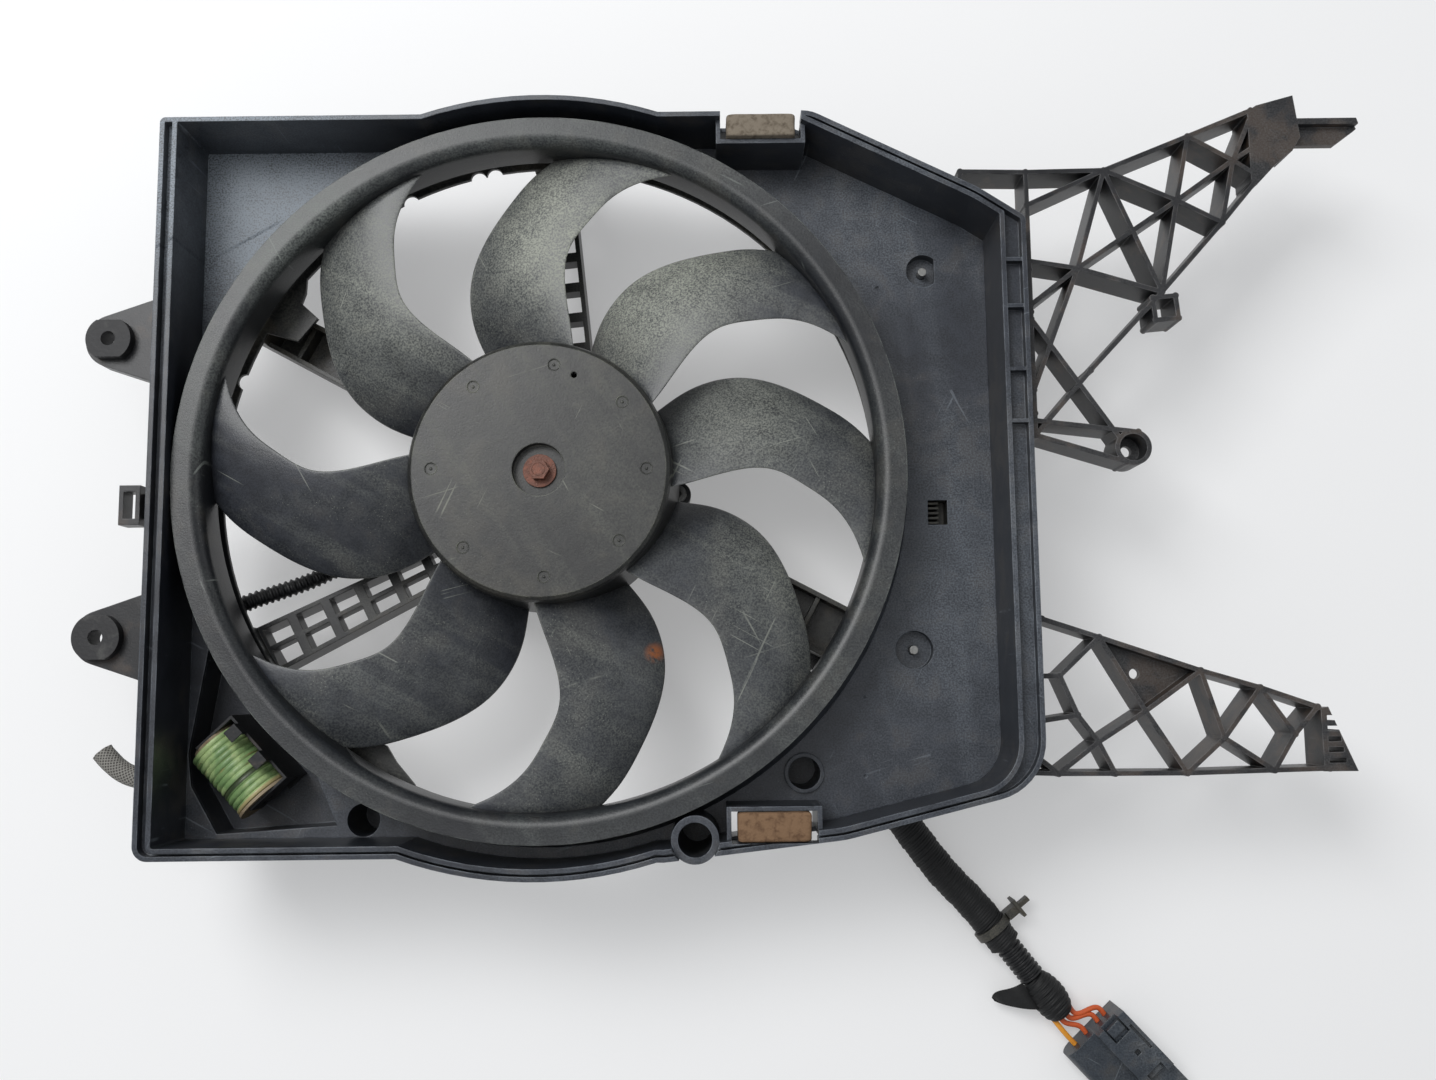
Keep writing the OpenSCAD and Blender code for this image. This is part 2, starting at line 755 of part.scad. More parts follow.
module lower_lattice() {
    a = [29.6, 110.4];
    b = [52.7, 70.8];
    c = [83.2, 92];
    d = [94, 56.1];
    e = [114.5, 82.6];
    f = [73.3, 38];
    g = [26.9, 54.8];
    h = [16.4, 69.1];
    i = [7.7, 90];
    j = [119.7, 39];
    k = [131.6, 57.8];
    l = [144.5, 72];
    m = [35, 38.2];
    n = [5, 38.4];
    chain([[-18, 126.5], [-0.8, 120.6], a, c, e, l]);
    chain([[-22, 39.5], n, m, f, j, [149, 39.6]]);
    chain([[-18, 90], i, a, b, f]);
    chain([m, g, b, c, d, f]);
    chain([i, h, g, n]);
    chain([[-18, 64], h]);
    chain([e, d, j, k, e]);
    chain([l, k]);
    chain([n, [-18, 57]]);
}

module lower_arm() {
    low = arm_z - arm_depth;
    slot_pitch = 5.6;
    color(shroud_grey)
    difference() {
        translate([arm_x, bottom_y, 0]) union() {
            slab(low, arm_z) lower_lattice();
            slab(low, arm_z) difference() {
                polygon([[146, 71.5], [150, 72], [164, 38], [146, 38]]);
                for (k = [0:4])
                    translate([149, 42.5 + slot_pitch * k]) square([9 - k, 2.6]);
            }
            slab(low + 8, low + 12) polygon([[29.7, 110], [83.2, 91.5], [52.7, 72]]);
        }
        slab(0, rim_z) outline(wall_outer);
        at(plate_hole_at) slab(0, rim_z) circle(r = plate_hole_r);
    }
}

// Left side ears, bushes and loop

module ear_area(y, shrink) {
    c = [ear_x, y];
    root_x = left_x + rim_left_w + 4;
    low = [root_x, y - 32 + shrink];
    high = [root_x, y + 32 - shrink];
    r = ear_r - shrink;
    polygon([low, high, touch_point(high, c, r, 1), touch_point(low, c, r, -1)]);
    translate(c) circle(r = r);
}

module mount_ears() {
    rib_depth = 12;
    color(shroud_grey)
    difference() {
        union() for (y = ear_ys) {
            slab(ear_z - ear_t, ear_z) ear_area(y, 0);
            slab(ear_z - rib_depth, ear_z - ear_t + eps) difference() {
                ear_area(y, 0);
                ear_area(y, wall_t);
            }
        }
        slab(0, rim_z) outline(wall_outer);
        for (y = ear_ys) at([ear_x, y]) slab(0, rim_z) circle(r = bush_waist_r);
    }
}

bush_waist_r = 9.2;
bush_flange = 6;
bush_sizes = [[12.5, 10.5], [13, 12]];

// Rubber bush with two flanges and a waist in the ear's hole
module ear_bush(y, size) {
    back = ear_z - ear_t;
    waist = bush_waist_r - 0.1;
    color([0.12, 0.12, 0.12])
    at([ear_x, y]) difference() {
        union() {
            slab(ear_z, ear_z + bush_flange) intersection() {
                circle(r = size.x);
                square([2 * size.x, 2 * size.y], center = true);
            }
            slab(back, ear_z) circle(r = waist);
            slab(back - bush_flange + 1.5, back) circle(r = waist + 1.4);
        }
        slab(0, rim_z) circle(r = bush_hole_r);
    }
}

module ear_bush_upper() {
    ear_bush(ear_ys[0], bush_sizes[0]);
}

module ear_bush_lower() {
    ear_bush(ear_ys[1], bush_sizes[1]);
}

module side_loop() {
    x0 = left_x - 25;
    color(shroud_grey)
    difference() {
        union() {
            slab(70, 82) translate([x0, -25]) square([11.5, 22]);
            slab(72, 76) translate([x0 + 9, -21]) square([30, 14]);
            slab(66, 76) translate([x0 + 9, -15.3]) square([30, wall_t]);
        }
        slab(0, rim_z) translate([x0 + 2.4, -21.5]) square([6.7, 15]);
        slab(0, rim_z) outline(wall_outer);
    }
}

module pad_pockets() {
    color(shroud_grey)
    difference() {
        for (p = [top_pocket, bottom_pocket]) slab(floor_z, groove_z) difference() {
            pocket_rect(p, pocket_t);
            pocket_rect(p, 0);
        }
        slab(0, rim_z) difference() {
            square([900, 900], center = true);
            outline(rim_widths);
        }
        slab(0, rim_z) circle(r = bell_r, $fn = 240);
    }
}

module pad(p) {
    translate([p[0] + pad_end_gap, p[2] + 0.2, pad_low_z])
        cube([p[1] - p[0] - 2 * pad_end_gap, p[3] - p[2] - 0.4, pad_h]);
}

module pad_top() {
    color([0.45, 0.42, 0.38]) pad(top_pocket);
}

module pad_bottom() {
    color([0.62, 0.48, 0.34]) pad(bottom_pocket);
}

module boss_screws() {
    color(steel_grey)
    for (p = [d_recess_at, round_recess_at]) at(p) {
        base = floor_back - recess_depth;
        slab(base - 3, base) circle(r = 4.6);
        slab(base, base + 9) circle(r = screw_r);
    }
}

// Pocket behind the window, with a ladder of teeth in its left half
module window_clip() {
    depth = 12;
    skin = 1.4;
    teeth = 5;
    pitch = window_size.y / teeth;
    color([0.15, 0.15, 0.16])
    at(window_at) {
        difference() {
            slab(floor_back - depth, floor_back)
                square(window_size + [2 * skin, 2 * skin], center = true);
            slab(floor_back - depth + skin, floor_back + 1) square(window_size, center = true);
        }
        for (k = [0:teeth - 1])
            translate([-window_size.x / 2, -window_size.y / 2 + pitch * (k + 0.3), floor_back - depth])
                cube([window_size.x * 0.6, pitch * 0.45, depth - 1]);
    }
}

// Fan

module fan_hub() {
    ribs = 8;
    marks = [82, 39, 0, -42, -87, -134, 179, 128];
    mark_r = hub_r - 12.7;
    color(fan_grey)
    difference() {
        union() {
            rotate_extrude($fn = 160) polygon([
                [shaft_r + bearing_gap, recess_floor_z - recess_t],
                [nut_recess_r + recess_t, recess_floor_z - recess_t],
                [nut_recess_r + recess_t, hub_z - hub_t], [hub_r - hub_wall - 1, hub_z - hub_t],
                [hub_foot_r - hub_wall, hub_foot_z], [hub_foot_r, hub_foot_z],
                [hub_r + 0.6, hub_z - 4], [hub_r - 0.4, hub_z - 1.6], [hub_r - 2.2, hub_z],
                [nut_recess_r, hub_z], [nut_recess_r, recess_floor_z],
                [shaft_r + bearing_gap, recess_floor_z]]);
            for (i = [0:ribs - 1]) rotate([0, 0, 360 * i / ribs + 12])
                translate([nut_recess_r + 1, -1.2, hub_z - hub_t - 9])
                    cube([hub_r - nut_recess_r - 3.5, 2.4, 9.5]);
        }
        for (a = marks) at(polar(mark_r, a)) slab(hub_z - 0.5, hub_z + 1) circle(r = 3);
        at([18.9, 51.5]) slab(hub_z - hub_t - 1, hub_z + 1) circle(r = 1.7);
        slab(0, can_z + 3) circle(r = hub_foot_r - hub_wall - 3);
    }
}

// Outer radius of the drafted hub side at height z
function hub_side_r(z) =
    hub_foot_r - (z - hub_foot_z) / (hub_z - 4 - hub_foot_z) * (hub_foot_r - hub_r - 0.6);

function blade_point(tip, u, v) =
    let (a = tip + (1 - v) * lookup(u, front_sweep) + v * lookup(u, rear_sweep),
        rear_z = blade_root_z + u * (blade_tip_z - blade_root_z),
        z = (1 - v) * (blade_front_z - u) + v * rear_z + blade_camber * 4 * v * (1 - v),
        root = hub_side_r(z) - blade_sink,
        r = root + u * (band_r + blade_sink - root))
    [r * cos(a), r * sin(a), z];

module blade(tip) {
    m = span_steps;
    n = chord_steps;
    rows = n + 1;
    count = (m + 1) * rows;
    thickness = [for (j = [0:n]) blade_t * (0.45 + 0.55 * sin(180 * j / n))];
    upper = [for (i = [0:m], j = [0:n]) blade_point(tip, i / m, j / n) + [0, 0, thickness[j] / 2]];
    lower = [for (i = [0:m], j = [0:n]) blade_point(tip, i / m, j / n) - [0, 0, thickness[j] / 2]];
    front_faces = [for (i = [0:m - 1], j = [0:n - 1])
        let (a = i * rows + j, b = a + 1, c = a + rows + 1, d = a + rows)
        each [[a, b, c], [a, c, d]]];
    back_faces = [for (f = front_faces) [f[2] + count, f[1] + count, f[0] + count]];
    long_edges = [for (i = [0:m - 1])
        let (a = i * rows, b = a + rows, c = a + n, d = c + rows)
        each [[a, b, b + count], [a, b + count, a + count],
            [d, c, c + count], [d, c + count, d + count]]];
    short_edges = [for (j = [0:n - 1])
        let (a = j, b = j + 1, c = m * rows + j, d = c + 1)
        each [[a, a + count, b + count], [a, b + count, b],
            [c, d, d + count], [c, d + count, c + count]]];
    polyhedron(points = concat(upper, lower),
        faces = concat(front_faces, back_faces, long_edges, short_edges));
}

module fan_blades() {
    color(fan_grey) for (tip = tip_angles) blade(tip);
}

module fan_band() {
    outer = band_r + band_t;
    color(fan_grey)
    rotate_extrude($fn = 240) polygon(concat(
        [[band_r, lip_z - band_depth], [outer, lip_z - band_depth]],
        [for (a = [0:15:90]) [outer, lip_z - lip_t] + lip_fillet * [1 - cos(a), sin(a) - 1]],
        [[lip_r - lip_t, lip_z - lip_t], [lip_r - lip_t, lip_z - lip_turn], [lip_r, lip_z - lip_turn],
            [lip_r, lip_z - 1], [lip_r - 1, lip_z]],
        [for (a = [90:-15:0]) [band_r, lip_z] + lip_round * [1 - cos(a), sin(a) - 1]]));
}

module fan_washer() {
    color([0.42, 0.3, 0.22])
    slab(recess_floor_z, recess_floor_z + washer_t) difference() {
        circle(r = 9);
        circle(r = shaft_r + bearing_gap);
    }
}

module fan_nut() {
    base = recess_floor_z + washer_t;
    color([0.5, 0.32, 0.22])
    slab(base, base + nut_h) difference() {
        circle(d = nut_af / cos(30), $fn = 6);
        circle(r = thread_r + bearing_gap);
    }
}

thread_r = shaft_r - 0.6;

// Motor, from the shaft outwards

module motor_shaft() {
    color(steel_grey)
    union() {
        slab(bearing_low_z + fit_gap, recess_floor_z + washer_t) circle(r = shaft_r);
        slab(recess_floor_z + washer_t, hub_z + 0.5) circle(r = thread_r);
    }
}

module motor_can() {
    color([0.3, 0.3, 0.31])
    difference() {
        union() {
            slab(cover_z, can_z) difference() {
                circle(r = can_r, $fn = 160);
                circle(r = can_r - can_t, $fn = 160);
            }
            slab(can_z - can_t, can_z) difference() {
                circle(r = can_r, $fn = 160);
                circle(r = bearing_r + 0.05);
            }
            slab(bearing_high_z, can_z + 1.5) difference() {
                circle(r = bearing_r + boss_wall);
                circle(r = bearing_r + 0.05);
            }
            slab(can_z, can_z + 1.5) difference() {
                circle(r = bearing_r + 1);
                circle(r = shaft_r + 2);
            }
            for (a = lug_angles) slab(lug_z, lug_z + lug_t) rotate(a) difference() {
                union() {
                    translate([can_r - 1, -lug_w / 2]) square([lug_r - can_r + 1, lug_w]);
                    translate([lug_r, 0]) circle(r = lug_w / 2);
                }
                translate([lug_r, 0]) circle(r = lug_hole_r);
                circle(r = can_r - can_t / 2, $fn = 160);
            }
        }
        translate(grommet_at) rotate([0, 90, grommet_angle])
            cylinder(r = grommet_r, h = 12, center = true);
        translate(lead_gland_at) rotate([0, 90, lead_gland_angle])
            cylinder(r = lead_gland_r, h = 12, center = true);
    }
}

grommet_angle = -28;
grommet_r = 5.5;
grommet_at = concat(polar(can_r, grommet_angle), [cover_z + 6]);
lead_gland_angle = 189;
lead_gland_r = 4;
lead_gland_at = concat(polar(can_r, lead_gland_angle), [cover_z + 7]);

// Rubber glands where the two leads leave the can
module motor_grommet() {
    color([0.1, 0.1, 0.1]) {
        translate(grommet_at) rotate([0, 90, grommet_angle]) {
            cylinder(r = grommet_r - 0.1, h = 6, center = true);
            translate([0, 0, 2.2]) cylinder(r = grommet_r + 2, h = 3);
        }
        translate(lead_gland_at) rotate([0, 90, lead_gland_angle]) {
            cylinder(r = lead_gland_r - 0.1, h = 6, center = true);
        }
    }
}

module motor_rear_cover() {
    bolts = [30, 210];
    color([0.42, 0.42, 0.43])
    difference() {
        rotate_extrude($fn = 160) polygon([
            [0, 0], [can_r - 4, 0], [can_r, 3], [can_r, cover_z], [can_r - can_t - fit_gap, cover_z],
            [can_r - can_t - fit_gap, 3.6], [bearing_r + boss_wall, 3.6],
            [bearing_r + boss_wall, bearing_low_z + bearing_w - 1],
            [bearing_r + 0.05, bearing_low_z + bearing_w - 1], [bearing_r + 0.05, bearing_low_z],
            [0, bearing_low_z]]);
        for (a = bolts) at(polar(can_r - 9, a)) slab(-1, cover_z + 1) circle(r = 2.2);
    }
}

module magnets() {
    arc = 70;
    color([0.2, 0.2, 0.2])
    for (k = [0:3]) rotate([0, 0, 90 * k + 45 - arc / 2])
        rotate_extrude(angle = arc, $fn = 160)
            translate([magnet_r, magnet_low_z])
                square([can_r - can_t - 0.05 - magnet_r, magnet_high_z - magnet_low_z]);
}

module armature_core() {
    slots = 16;
    color([0.5, 0.5, 0.52])
    slab(core_low_z, core_high_z) difference() {
        circle(r = core_r, $fn = 160);
        circle(r = shaft_r);
        for (k = [0:slots - 1]) rotate(360 * k / slots)
            translate([core_r - 14, -1.6]) square([16, 3.2]);
    }
}

module armature_windings() {
    inner = commutator_r + 3;
    outer = core_r - 3;
    color([0.62, 0.34, 0.18])
    for (z = [core_low_z - winding_h, core_high_z])
        slab(z, z + winding_h) difference() {
            circle(r = outer);
            circle(r = inner);
        }
}

module commutator() {
    bars = 24;
    color([0.7, 0.45, 0.25])
    union() {
        slab(commutator_low_z, commutator_high_z) difference() {
            circle(r = commutator_r);
            circle(r = shaft_r);
            for (k = [0:bars - 1]) rotate(360 * k / bars)
                translate([commutator_r - 0.8, -0.3]) square([2, 0.6]);
        }
        slab(commutator_high_z, core_low_z) difference() {
            circle(r = commutator_r + 2.9);
            circle(r = shaft_r);
        }
    }
}

module bearing(z) {
    color(steel_grey)
    slab(z, z + bearing_w) difference() {
        circle(r = bearing_r);
        circle(r = shaft_r + bearing_gap);
    }
}

module bearing_front() {
    bearing(bearing_high_z);
}

module bearing_rear() {
    bearing(bearing_low_z);
}

module brush_plate() {
    box_x = commutator_r + 2;
    wall = 1.2;
    color([0.35, 0.22, 0.14])
    union() {
        slab(cover_z, cover_z + 2.5) difference() {
            circle(r = can_r - can_t - 0.2, $fn = 160);
            circle(r = commutator_r + 2);
            for (p = [grommet_at, lead_gland_at]) translate([p.x, p.y]) circle(r = grommet_r + 3);
        }
        for (a = [90, 270]) rotate([0, 0, a]) difference() {
            translate([box_x, -brush_size.y / 2 - wall - 0.1, cover_z + 2.5])
                cube([26, brush_size.y + 2 * wall + 0.2, brush_size.z + 2]);
            translate([box_x - 1, -brush_size.y / 2 - 0.1, brush_low_z - 0.1])
                cube([26, brush_size.y + 0.2, brush_size.z + 0.2]);
        }
    }
}

module brushes() {
    color([0.14, 0.14, 0.15])
    for (a = [90, 270]) rotate([0, 0, a])
        translate([commutator_r + fit_gap, -brush_size.y / 2, brush_low_z]) cube(brush_size);
}

module brush_springs() {
    x0 = commutator_r + fit_gap + brush_size.x + 0.7;
    length = commutator_r + 2 + 24.2 - x0;
    turns = 4;
    steps = 10;
    coil_r = 2.8;
    zc = brush_low_z + brush_size.z / 2;
    color(steel_grey)
    for (a = [90, 270]) rotate([0, 0, a])
        tube([for (i = [0:turns * steps])
            [x0 + length * i / (turns * steps), coil_r * cos(360 * i / steps),
                zc + coil_r * sin(360 * i / steps)]], 0.5, 6);
}

module motor_screws() {
    color(steel_grey)
    for (a = lug_angles) at(polar(lug_r, a)) {
        slab(lug_z + lug_t, lug_z + lug_t + 4) difference() {
            circle(r = 5);
            circle(r = 2.2, $fn = 6);
        }
        slab(carrier_low_z - 3, lug_z + lug_t) circle(r = screw_r);
        slab(carrier_low_z - 3.6, carrier_low_z) circle(r = 4.6, $fn = 6);
    }
}

module cover_screws() {
    color(steel_grey)
    for (a = [30, 210]) at(polar(can_r - 9, a)) {
        slab(0.6, 4.6) circle(r = 2);
    }
}

// Resistor in its well

module res_frame() {
    translate([res_at.x, res_at.y, res_z]) rotate([0, 0, res_angle]) children();
}

module resistor_coat() {
    pitch = coat_len / coat_turns;
    groove = 0.7;
    color([0.45, 0.6, 0.4])
    res_frame() rotate([0, 90, 0]) translate([0, 0, -coat_len / 2])
        rotate_extrude() polygon(concat(
            [[ceramic_r, 0]],
            [for (k = [0:coat_turns - 1]) each [
                [coat_r - groove, pitch * k], [coat_r, pitch * (k + 0.25)],
                [coat_r, pitch * (k + 0.75)]]],
            [[coat_r - groove, coat_len], [ceramic_r, coat_len]]));
}

module resistor_core() {
    over = 1.6;
    color([0.62, 0.52, 0.4])
    res_frame() rotate([0, 90, 0]) difference() {
        union() {
            translate([0, 0, -coat_len / 2 - over]) cylinder(r = ceramic_r, h = coat_len + 2 * over);
            translate([0, 0, coat_len / 2]) cylinder(r = coat_r, h = over);
        }
        cylinder(r = 6, h = 100, center = true);
    }
}

module resistor_bracket() {
    half = coat_len / 2 + 1.6;
    t = 1.5;
    foot = well_floor_z + wall_t - res_z;
    side = coat_r + 1;
    color([0.1, 0.1, 0.1])
    res_frame() difference() {
        union() {
            translate([-half - t, side, foot]) cube([2 * half + 2 * t, t, 12 - foot]);
            for (x = [-half - t, half]) translate([x, -7, -7]) cube([t, side + 7 + t, 19]);
            translate([-half - t, 6, foot]) cube([2 * half + 2 * t, side - 6 + t, t]);
        }
        for (x = [-16, 16]) translate([x, 12, foot - 1]) cylinder(r = 2.1, h = 10);
        rotate([0, 90, 0]) cylinder(r = 3, h = 100, center = true);
    }
}

module resistor_screws() {
    foot = well_floor_z + wall_t + 1.5;
    color(steel_grey)
    res_frame() for (x = [-16, 16]) translate([x, 12, foot - res_z]) {
        cylinder(r = 3.6, h = 2.6);
        translate([0, 0, -4]) cylinder(r = 2, h = 4);
    }
}

module resistor_terminals() {
    top = 12;
    color(steel_grey)
    res_frame() for (x = [-17, 3]) {
        translate([x, coat_r + 1, top]) cube([7, 1.5, 6]);
        translate([x, coat_r - 5, top + 6]) cube([7, 7.5, 1]);
    }
}

module resistor_lead() {
    color([0.1, 0.1, 0.1]) tube(lead_path, lead_r, 10);
}

module sleeve_tail() {
    color([0.4, 0.4, 0.4]) tube(tail_path, sleeve_r, 10);
}

// Harness

module harness_held() {
    color([0.07, 0.07, 0.07]) tube(held_path, conduit_r, 10);
}

module harness_conduit() {
    color([0.07, 0.07, 0.07]) tube(conduit_path, conduit_r, 10);
}

module tail_frame() {
    end = conduit_path[len(conduit_path) - 1];
    translate(end) rotate([0, 0, tail_angle]) rotate([0, 90, 0]) children();
}

module harness_corrugated() {
    ridges = 7;
    pitch = corrugated_len / ridges;
    color([0.1, 0.1, 0.11])
    tail_frame() rotate_extrude($fn = 48) polygon(concat(
        [[0, 0]],
        [for (k = [0:ridges - 1]) each [
            [corrugated_r - 1, pitch * k], [corrugated_r, pitch * (k + 0.2)],
            [corrugated_r, pitch * (k + 0.7)], [corrugated_r - 1, pitch * (k + 0.9)]]],
        [[corrugated_r - 1, corrugated_len], [0, corrugated_len]]));
}

module tape_end() {
    color([0.06, 0.06, 0.07])
    tail_frame() translate([0, 0, corrugated_len]) rotate_extrude($fn = 48) polygon([
        [0, 0], [tape_r - 1, 0], [tape_r, 1.5], [tape_r, tape_len - 1.5],
        [tape_r - 1, tape_len], [0, tape_len]]);
}

// Saddle that hangs the held conduit from the solid arm
module held_clip() {
    angle = -28;
    x0 = 118;
    clear_r = conduit_r + fit_gap;
    ring_r = clear_r + 2;
    color([0.13, 0.13, 0.13])
    difference() {
        union() {
            translate([0, 0, held_path[1].z]) rotate([0, 0, angle]) translate([x0, 0, 0])
                rotate([0, 90, 0]) cylinder(r = ring_r, h = 8);
            rotate([0, 0, angle]) translate([x0, -3, held_path[1].z])
                cube([8, 6, carrier_low_z + 4 - held_path[1].z]);
        }
        translate([0, 0, held_path[1].z]) rotate([0, 0, angle]) translate([x0 - 1, 0, 0])
            rotate([0, 90, 0]) cylinder(r = clear_r, h = 10);
    }
}

module harness_clip() {
    at_end = conduit_path[len(conduit_path) - 2];
    color([0.2, 0.2, 0.19])
    translate(at_end) rotate([0, 0, tail_angle]) {
        difference() {
            rotate([0, 90, 0]) cylinder(r = conduit_r + 1.6, h = 5, $fn = 64);
            translate([-1, 0, 0]) rotate([0, 90, 0]) cylinder(r = conduit_r + 0.1, h = 8, $fn = 64);
        }
        translate([0, conduit_r + 1.2, -5]) cube([5, 7, 10]);
        translate([-3, conduit_r + 8.2, -7]) cube([11, 2, 14]);
        translate([1.2, conduit_r + 10.2, -3]) cube([2.6, 7, 6]);
    }
}

function plug_point(x, y, z) =
    [plug_at.x + x * cos(plug_angle) - y * sin(plug_angle),
        plug_at.y + x * sin(plug_angle) + y * cos(plug_angle), z];

// Point on the tape's end face, y across and z up
function tape_point(x, y, z) =
    let (end = conduit_path[len(conduit_path) - 1], reach = corrugated_len + tape_len + x)
    [end.x + reach * cos(tail_angle) - y * sin(tail_angle),
        end.y + reach * sin(tail_angle) + y * cos(tail_angle), z];

module harness_wires() {
    color([0.78, 0.36, 0.2])
    for (i = [0:3]) {
        y0 = [6, 2, -2, -6][i];
        tube([tape_point(0, y0, 10), tape_point(3, y0, 10), plug_point(-4, wire_ys[i], 9),
            plug_point(0, wire_ys[i], 9)], wire_r, 8);
    }
}

module at_plug() {
    translate([plug_at.x, plug_at.y, 0]) rotate([0, 0, plug_angle]) children();
}

block_w = 20.5;
block_len = 40;
block_h = 8;
lever_t = 2.4;
lever_w = 9;
lever_y = plug_w / 2 - block_w / 2 - lever_w / 2;
// Where the roof over the lever starts and ends along the block
roof_x = [10, 34];
roof_t = 1.2;
latch_pivot_r = 1.9;
latch_pivot_z = plug_h + 1 + latch_pivot_r + 0.1;
lock_at = [plug_len - 14, -12];
lock_size = [10, 14, 3];

// Two lipped rails that the lock slides in
module lock_rails() {
    x0 = lock_at.x - 4;
    rail_h = fit_gap + lock_size.z + fit_gap;
    low = lock_at.y - fit_gap;
    high = lock_at.y + lock_size.y + fit_gap;
    for (y = [low - 1.6, high]) translate([x0, y, plug_h - 1])
        cube([plug_len - x0, 1.6, rail_h + 1 + 1]);
    for (y = [low - 1.6, high - 1]) translate([x0, y, plug_h + rail_h])
        cube([plug_len - x0, 2.6, 1]);
}

module connector_housing() {
    half = plug_w / 2;
    mouth = 20;
    color([0.28, 0.29, 0.31])
    at_plug() difference() {
        union() {
            hull() {
                translate([0, -half + 7, 7]) rotate([0, 90, 0]) cylinder(r = 7, h = plug_len, $fn = 32);
                translate([0, -half + 7, plug_h - 7]) rotate([0, 90, 0])
                    cylinder(r = 7, h = plug_len, $fn = 32);
                translate([0, 0, 0]) cube([plug_len, half, plug_h]);
            }
            translate([0, half - block_w, plug_h - 1]) cube([block_len, block_w, block_h + 1]);
            lock_rails();
        }
        translate([plug_len - mouth, -half + 3, 3]) cube([mouth + 1, plug_w - 6, plug_h - 6]);
        translate([-1, lever_y - 1, plug_h + 1]) cube([block_len + 2, lever_w + 2, block_h - 1 - roof_t]);
        for (x = [-1, roof_x[1]]) translate([x, lever_y - 1, plug_h + 1])
            cube([roof_x[0] + 1, lever_w + 2, block_h]);
        translate([block_len / 2, lever_y + lever_w / 2 - 1.5, plug_h + 1]) cube([3, 3, block_h]);
        translate([8, half - 3.6, plug_h + block_h - 3]) cube([17, 1.6, 4]);
        for (y = wire_ys) translate([-1, y, 9]) rotate([0, 90, 0])
            cylinder(r = wire_r + 0.3, h = plug_len);
    }
}

// Sprung lever in the block on the connector's top
module connector_latch() {
    color([0.24, 0.25, 0.27])
    at_plug() {
        translate([2, lever_y, plug_h + 3]) cube([block_len - 4, lever_w, lever_t]);
        translate([block_len / 2, lever_y, latch_pivot_z]) rotate([-90, 0, 0])
            cylinder(r = latch_pivot_r, h = lever_w);
        translate([2, lever_y, plug_h + 3 + lever_t - eps]) cube([6, lever_w, 1.2]);
    }
}

// Slide that locks the mated connector
module connector_lock() {
    color([0.75, 0.73, 0.68])
    at_plug() translate([lock_at.x, lock_at.y, plug_h + fit_gap]) cube(lock_size);
}

module connector_terminals() {
    color([0.8, 0.75, 0.6])
    at_plug() for (y = wire_ys) translate([2, y, 9]) rotate([0, 90, 0])
        cylinder(r = 1.2, h = plug_len - 15);
}

module connector_seal() {
    color([0.75, 0.4, 0.25])
    at_plug() translate([plug_len - 19.8, 0, plug_h / 2]) difference() {
        translate([0, -plug_w / 2 + 3.2, -plug_h / 2 + 3.2]) cube([4, plug_w - 6.4, plug_h - 6.4]);
        for (y = wire_ys) translate([-1, y, 9 - plug_h / 2]) rotate([0, 90, 0])
            cylinder(r = 1.5, h = 8);
    }
}

shroud_tray();
tray_bell();
tray_bosses();
shroud_wall();
fan_duct();
resistor_well();
motor_carrier();
upper_arm();
lower_arm();
mount_ears();
side_loop();
pad_pockets();
fan_hub();
fan_blades();
fan_band();
fan_nut();
fan_washer();
motor_shaft();
motor_can();
motor_rear_cover();
magnets();
armature_core();
armature_windings();
commutator();
bearing_front();
bearing_rear();
brush_plate();
brushes();
brush_springs();
motor_screws();
cover_screws();
motor_grommet();
resistor_core();
resistor_coat();
resistor_bracket();
resistor_terminals();
resistor_screws();
resistor_lead();
pad_top();
pad_bottom();
ear_bush_upper();
ear_bush_lower();
boss_screws();
window_clip();
sleeve_tail();
harness_held();
held_clip();
harness_conduit();
harness_corrugated();
tape_end();
harness_clip();
harness_wires();
connector_housing();
connector_latch();
connector_lock();
connector_terminals();
connector_seal();
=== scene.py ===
"""Looks of a radiator cooling fan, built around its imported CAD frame.

Lengths are in metres in the CAD frame: X right and Y up in the picture, Z towards the camera.
The classes below hold their sizes in millimetres, as the CAD source does, and turn them into metres
where a mesh is made.
"""

import json
import logging
import math
from dataclasses import dataclass, field
from enum import Enum
from typing import Any, Optional, Sequence, Union

import bmesh
import bpy
import numpy as np
from mathutils import Euler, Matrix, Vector


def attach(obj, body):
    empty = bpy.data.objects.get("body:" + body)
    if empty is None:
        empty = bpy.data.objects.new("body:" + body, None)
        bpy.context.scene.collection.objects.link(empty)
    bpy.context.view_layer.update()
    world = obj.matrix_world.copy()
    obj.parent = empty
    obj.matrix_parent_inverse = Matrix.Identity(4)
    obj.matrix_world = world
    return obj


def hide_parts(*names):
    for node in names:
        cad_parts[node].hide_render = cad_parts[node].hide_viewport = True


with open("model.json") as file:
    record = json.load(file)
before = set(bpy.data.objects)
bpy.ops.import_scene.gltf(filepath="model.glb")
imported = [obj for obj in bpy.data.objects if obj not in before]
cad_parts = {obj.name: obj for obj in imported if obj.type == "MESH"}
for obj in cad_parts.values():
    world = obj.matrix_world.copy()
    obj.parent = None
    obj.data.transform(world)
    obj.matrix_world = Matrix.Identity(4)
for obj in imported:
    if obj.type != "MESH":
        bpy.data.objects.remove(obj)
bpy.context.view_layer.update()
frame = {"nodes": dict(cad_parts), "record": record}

log = logging.getLogger("cooling_fan")
MM = 0.001
Colour = tuple[float, float, float]
Number = Union[int, float, "Signal"]


class Body(Enum):
    """CAD bodies that pieces ride on."""

    FRAME = "frame"
    ROTOR = "rotor"
    LATCH = "plug_latch"
    LOCK = "plug_lock"


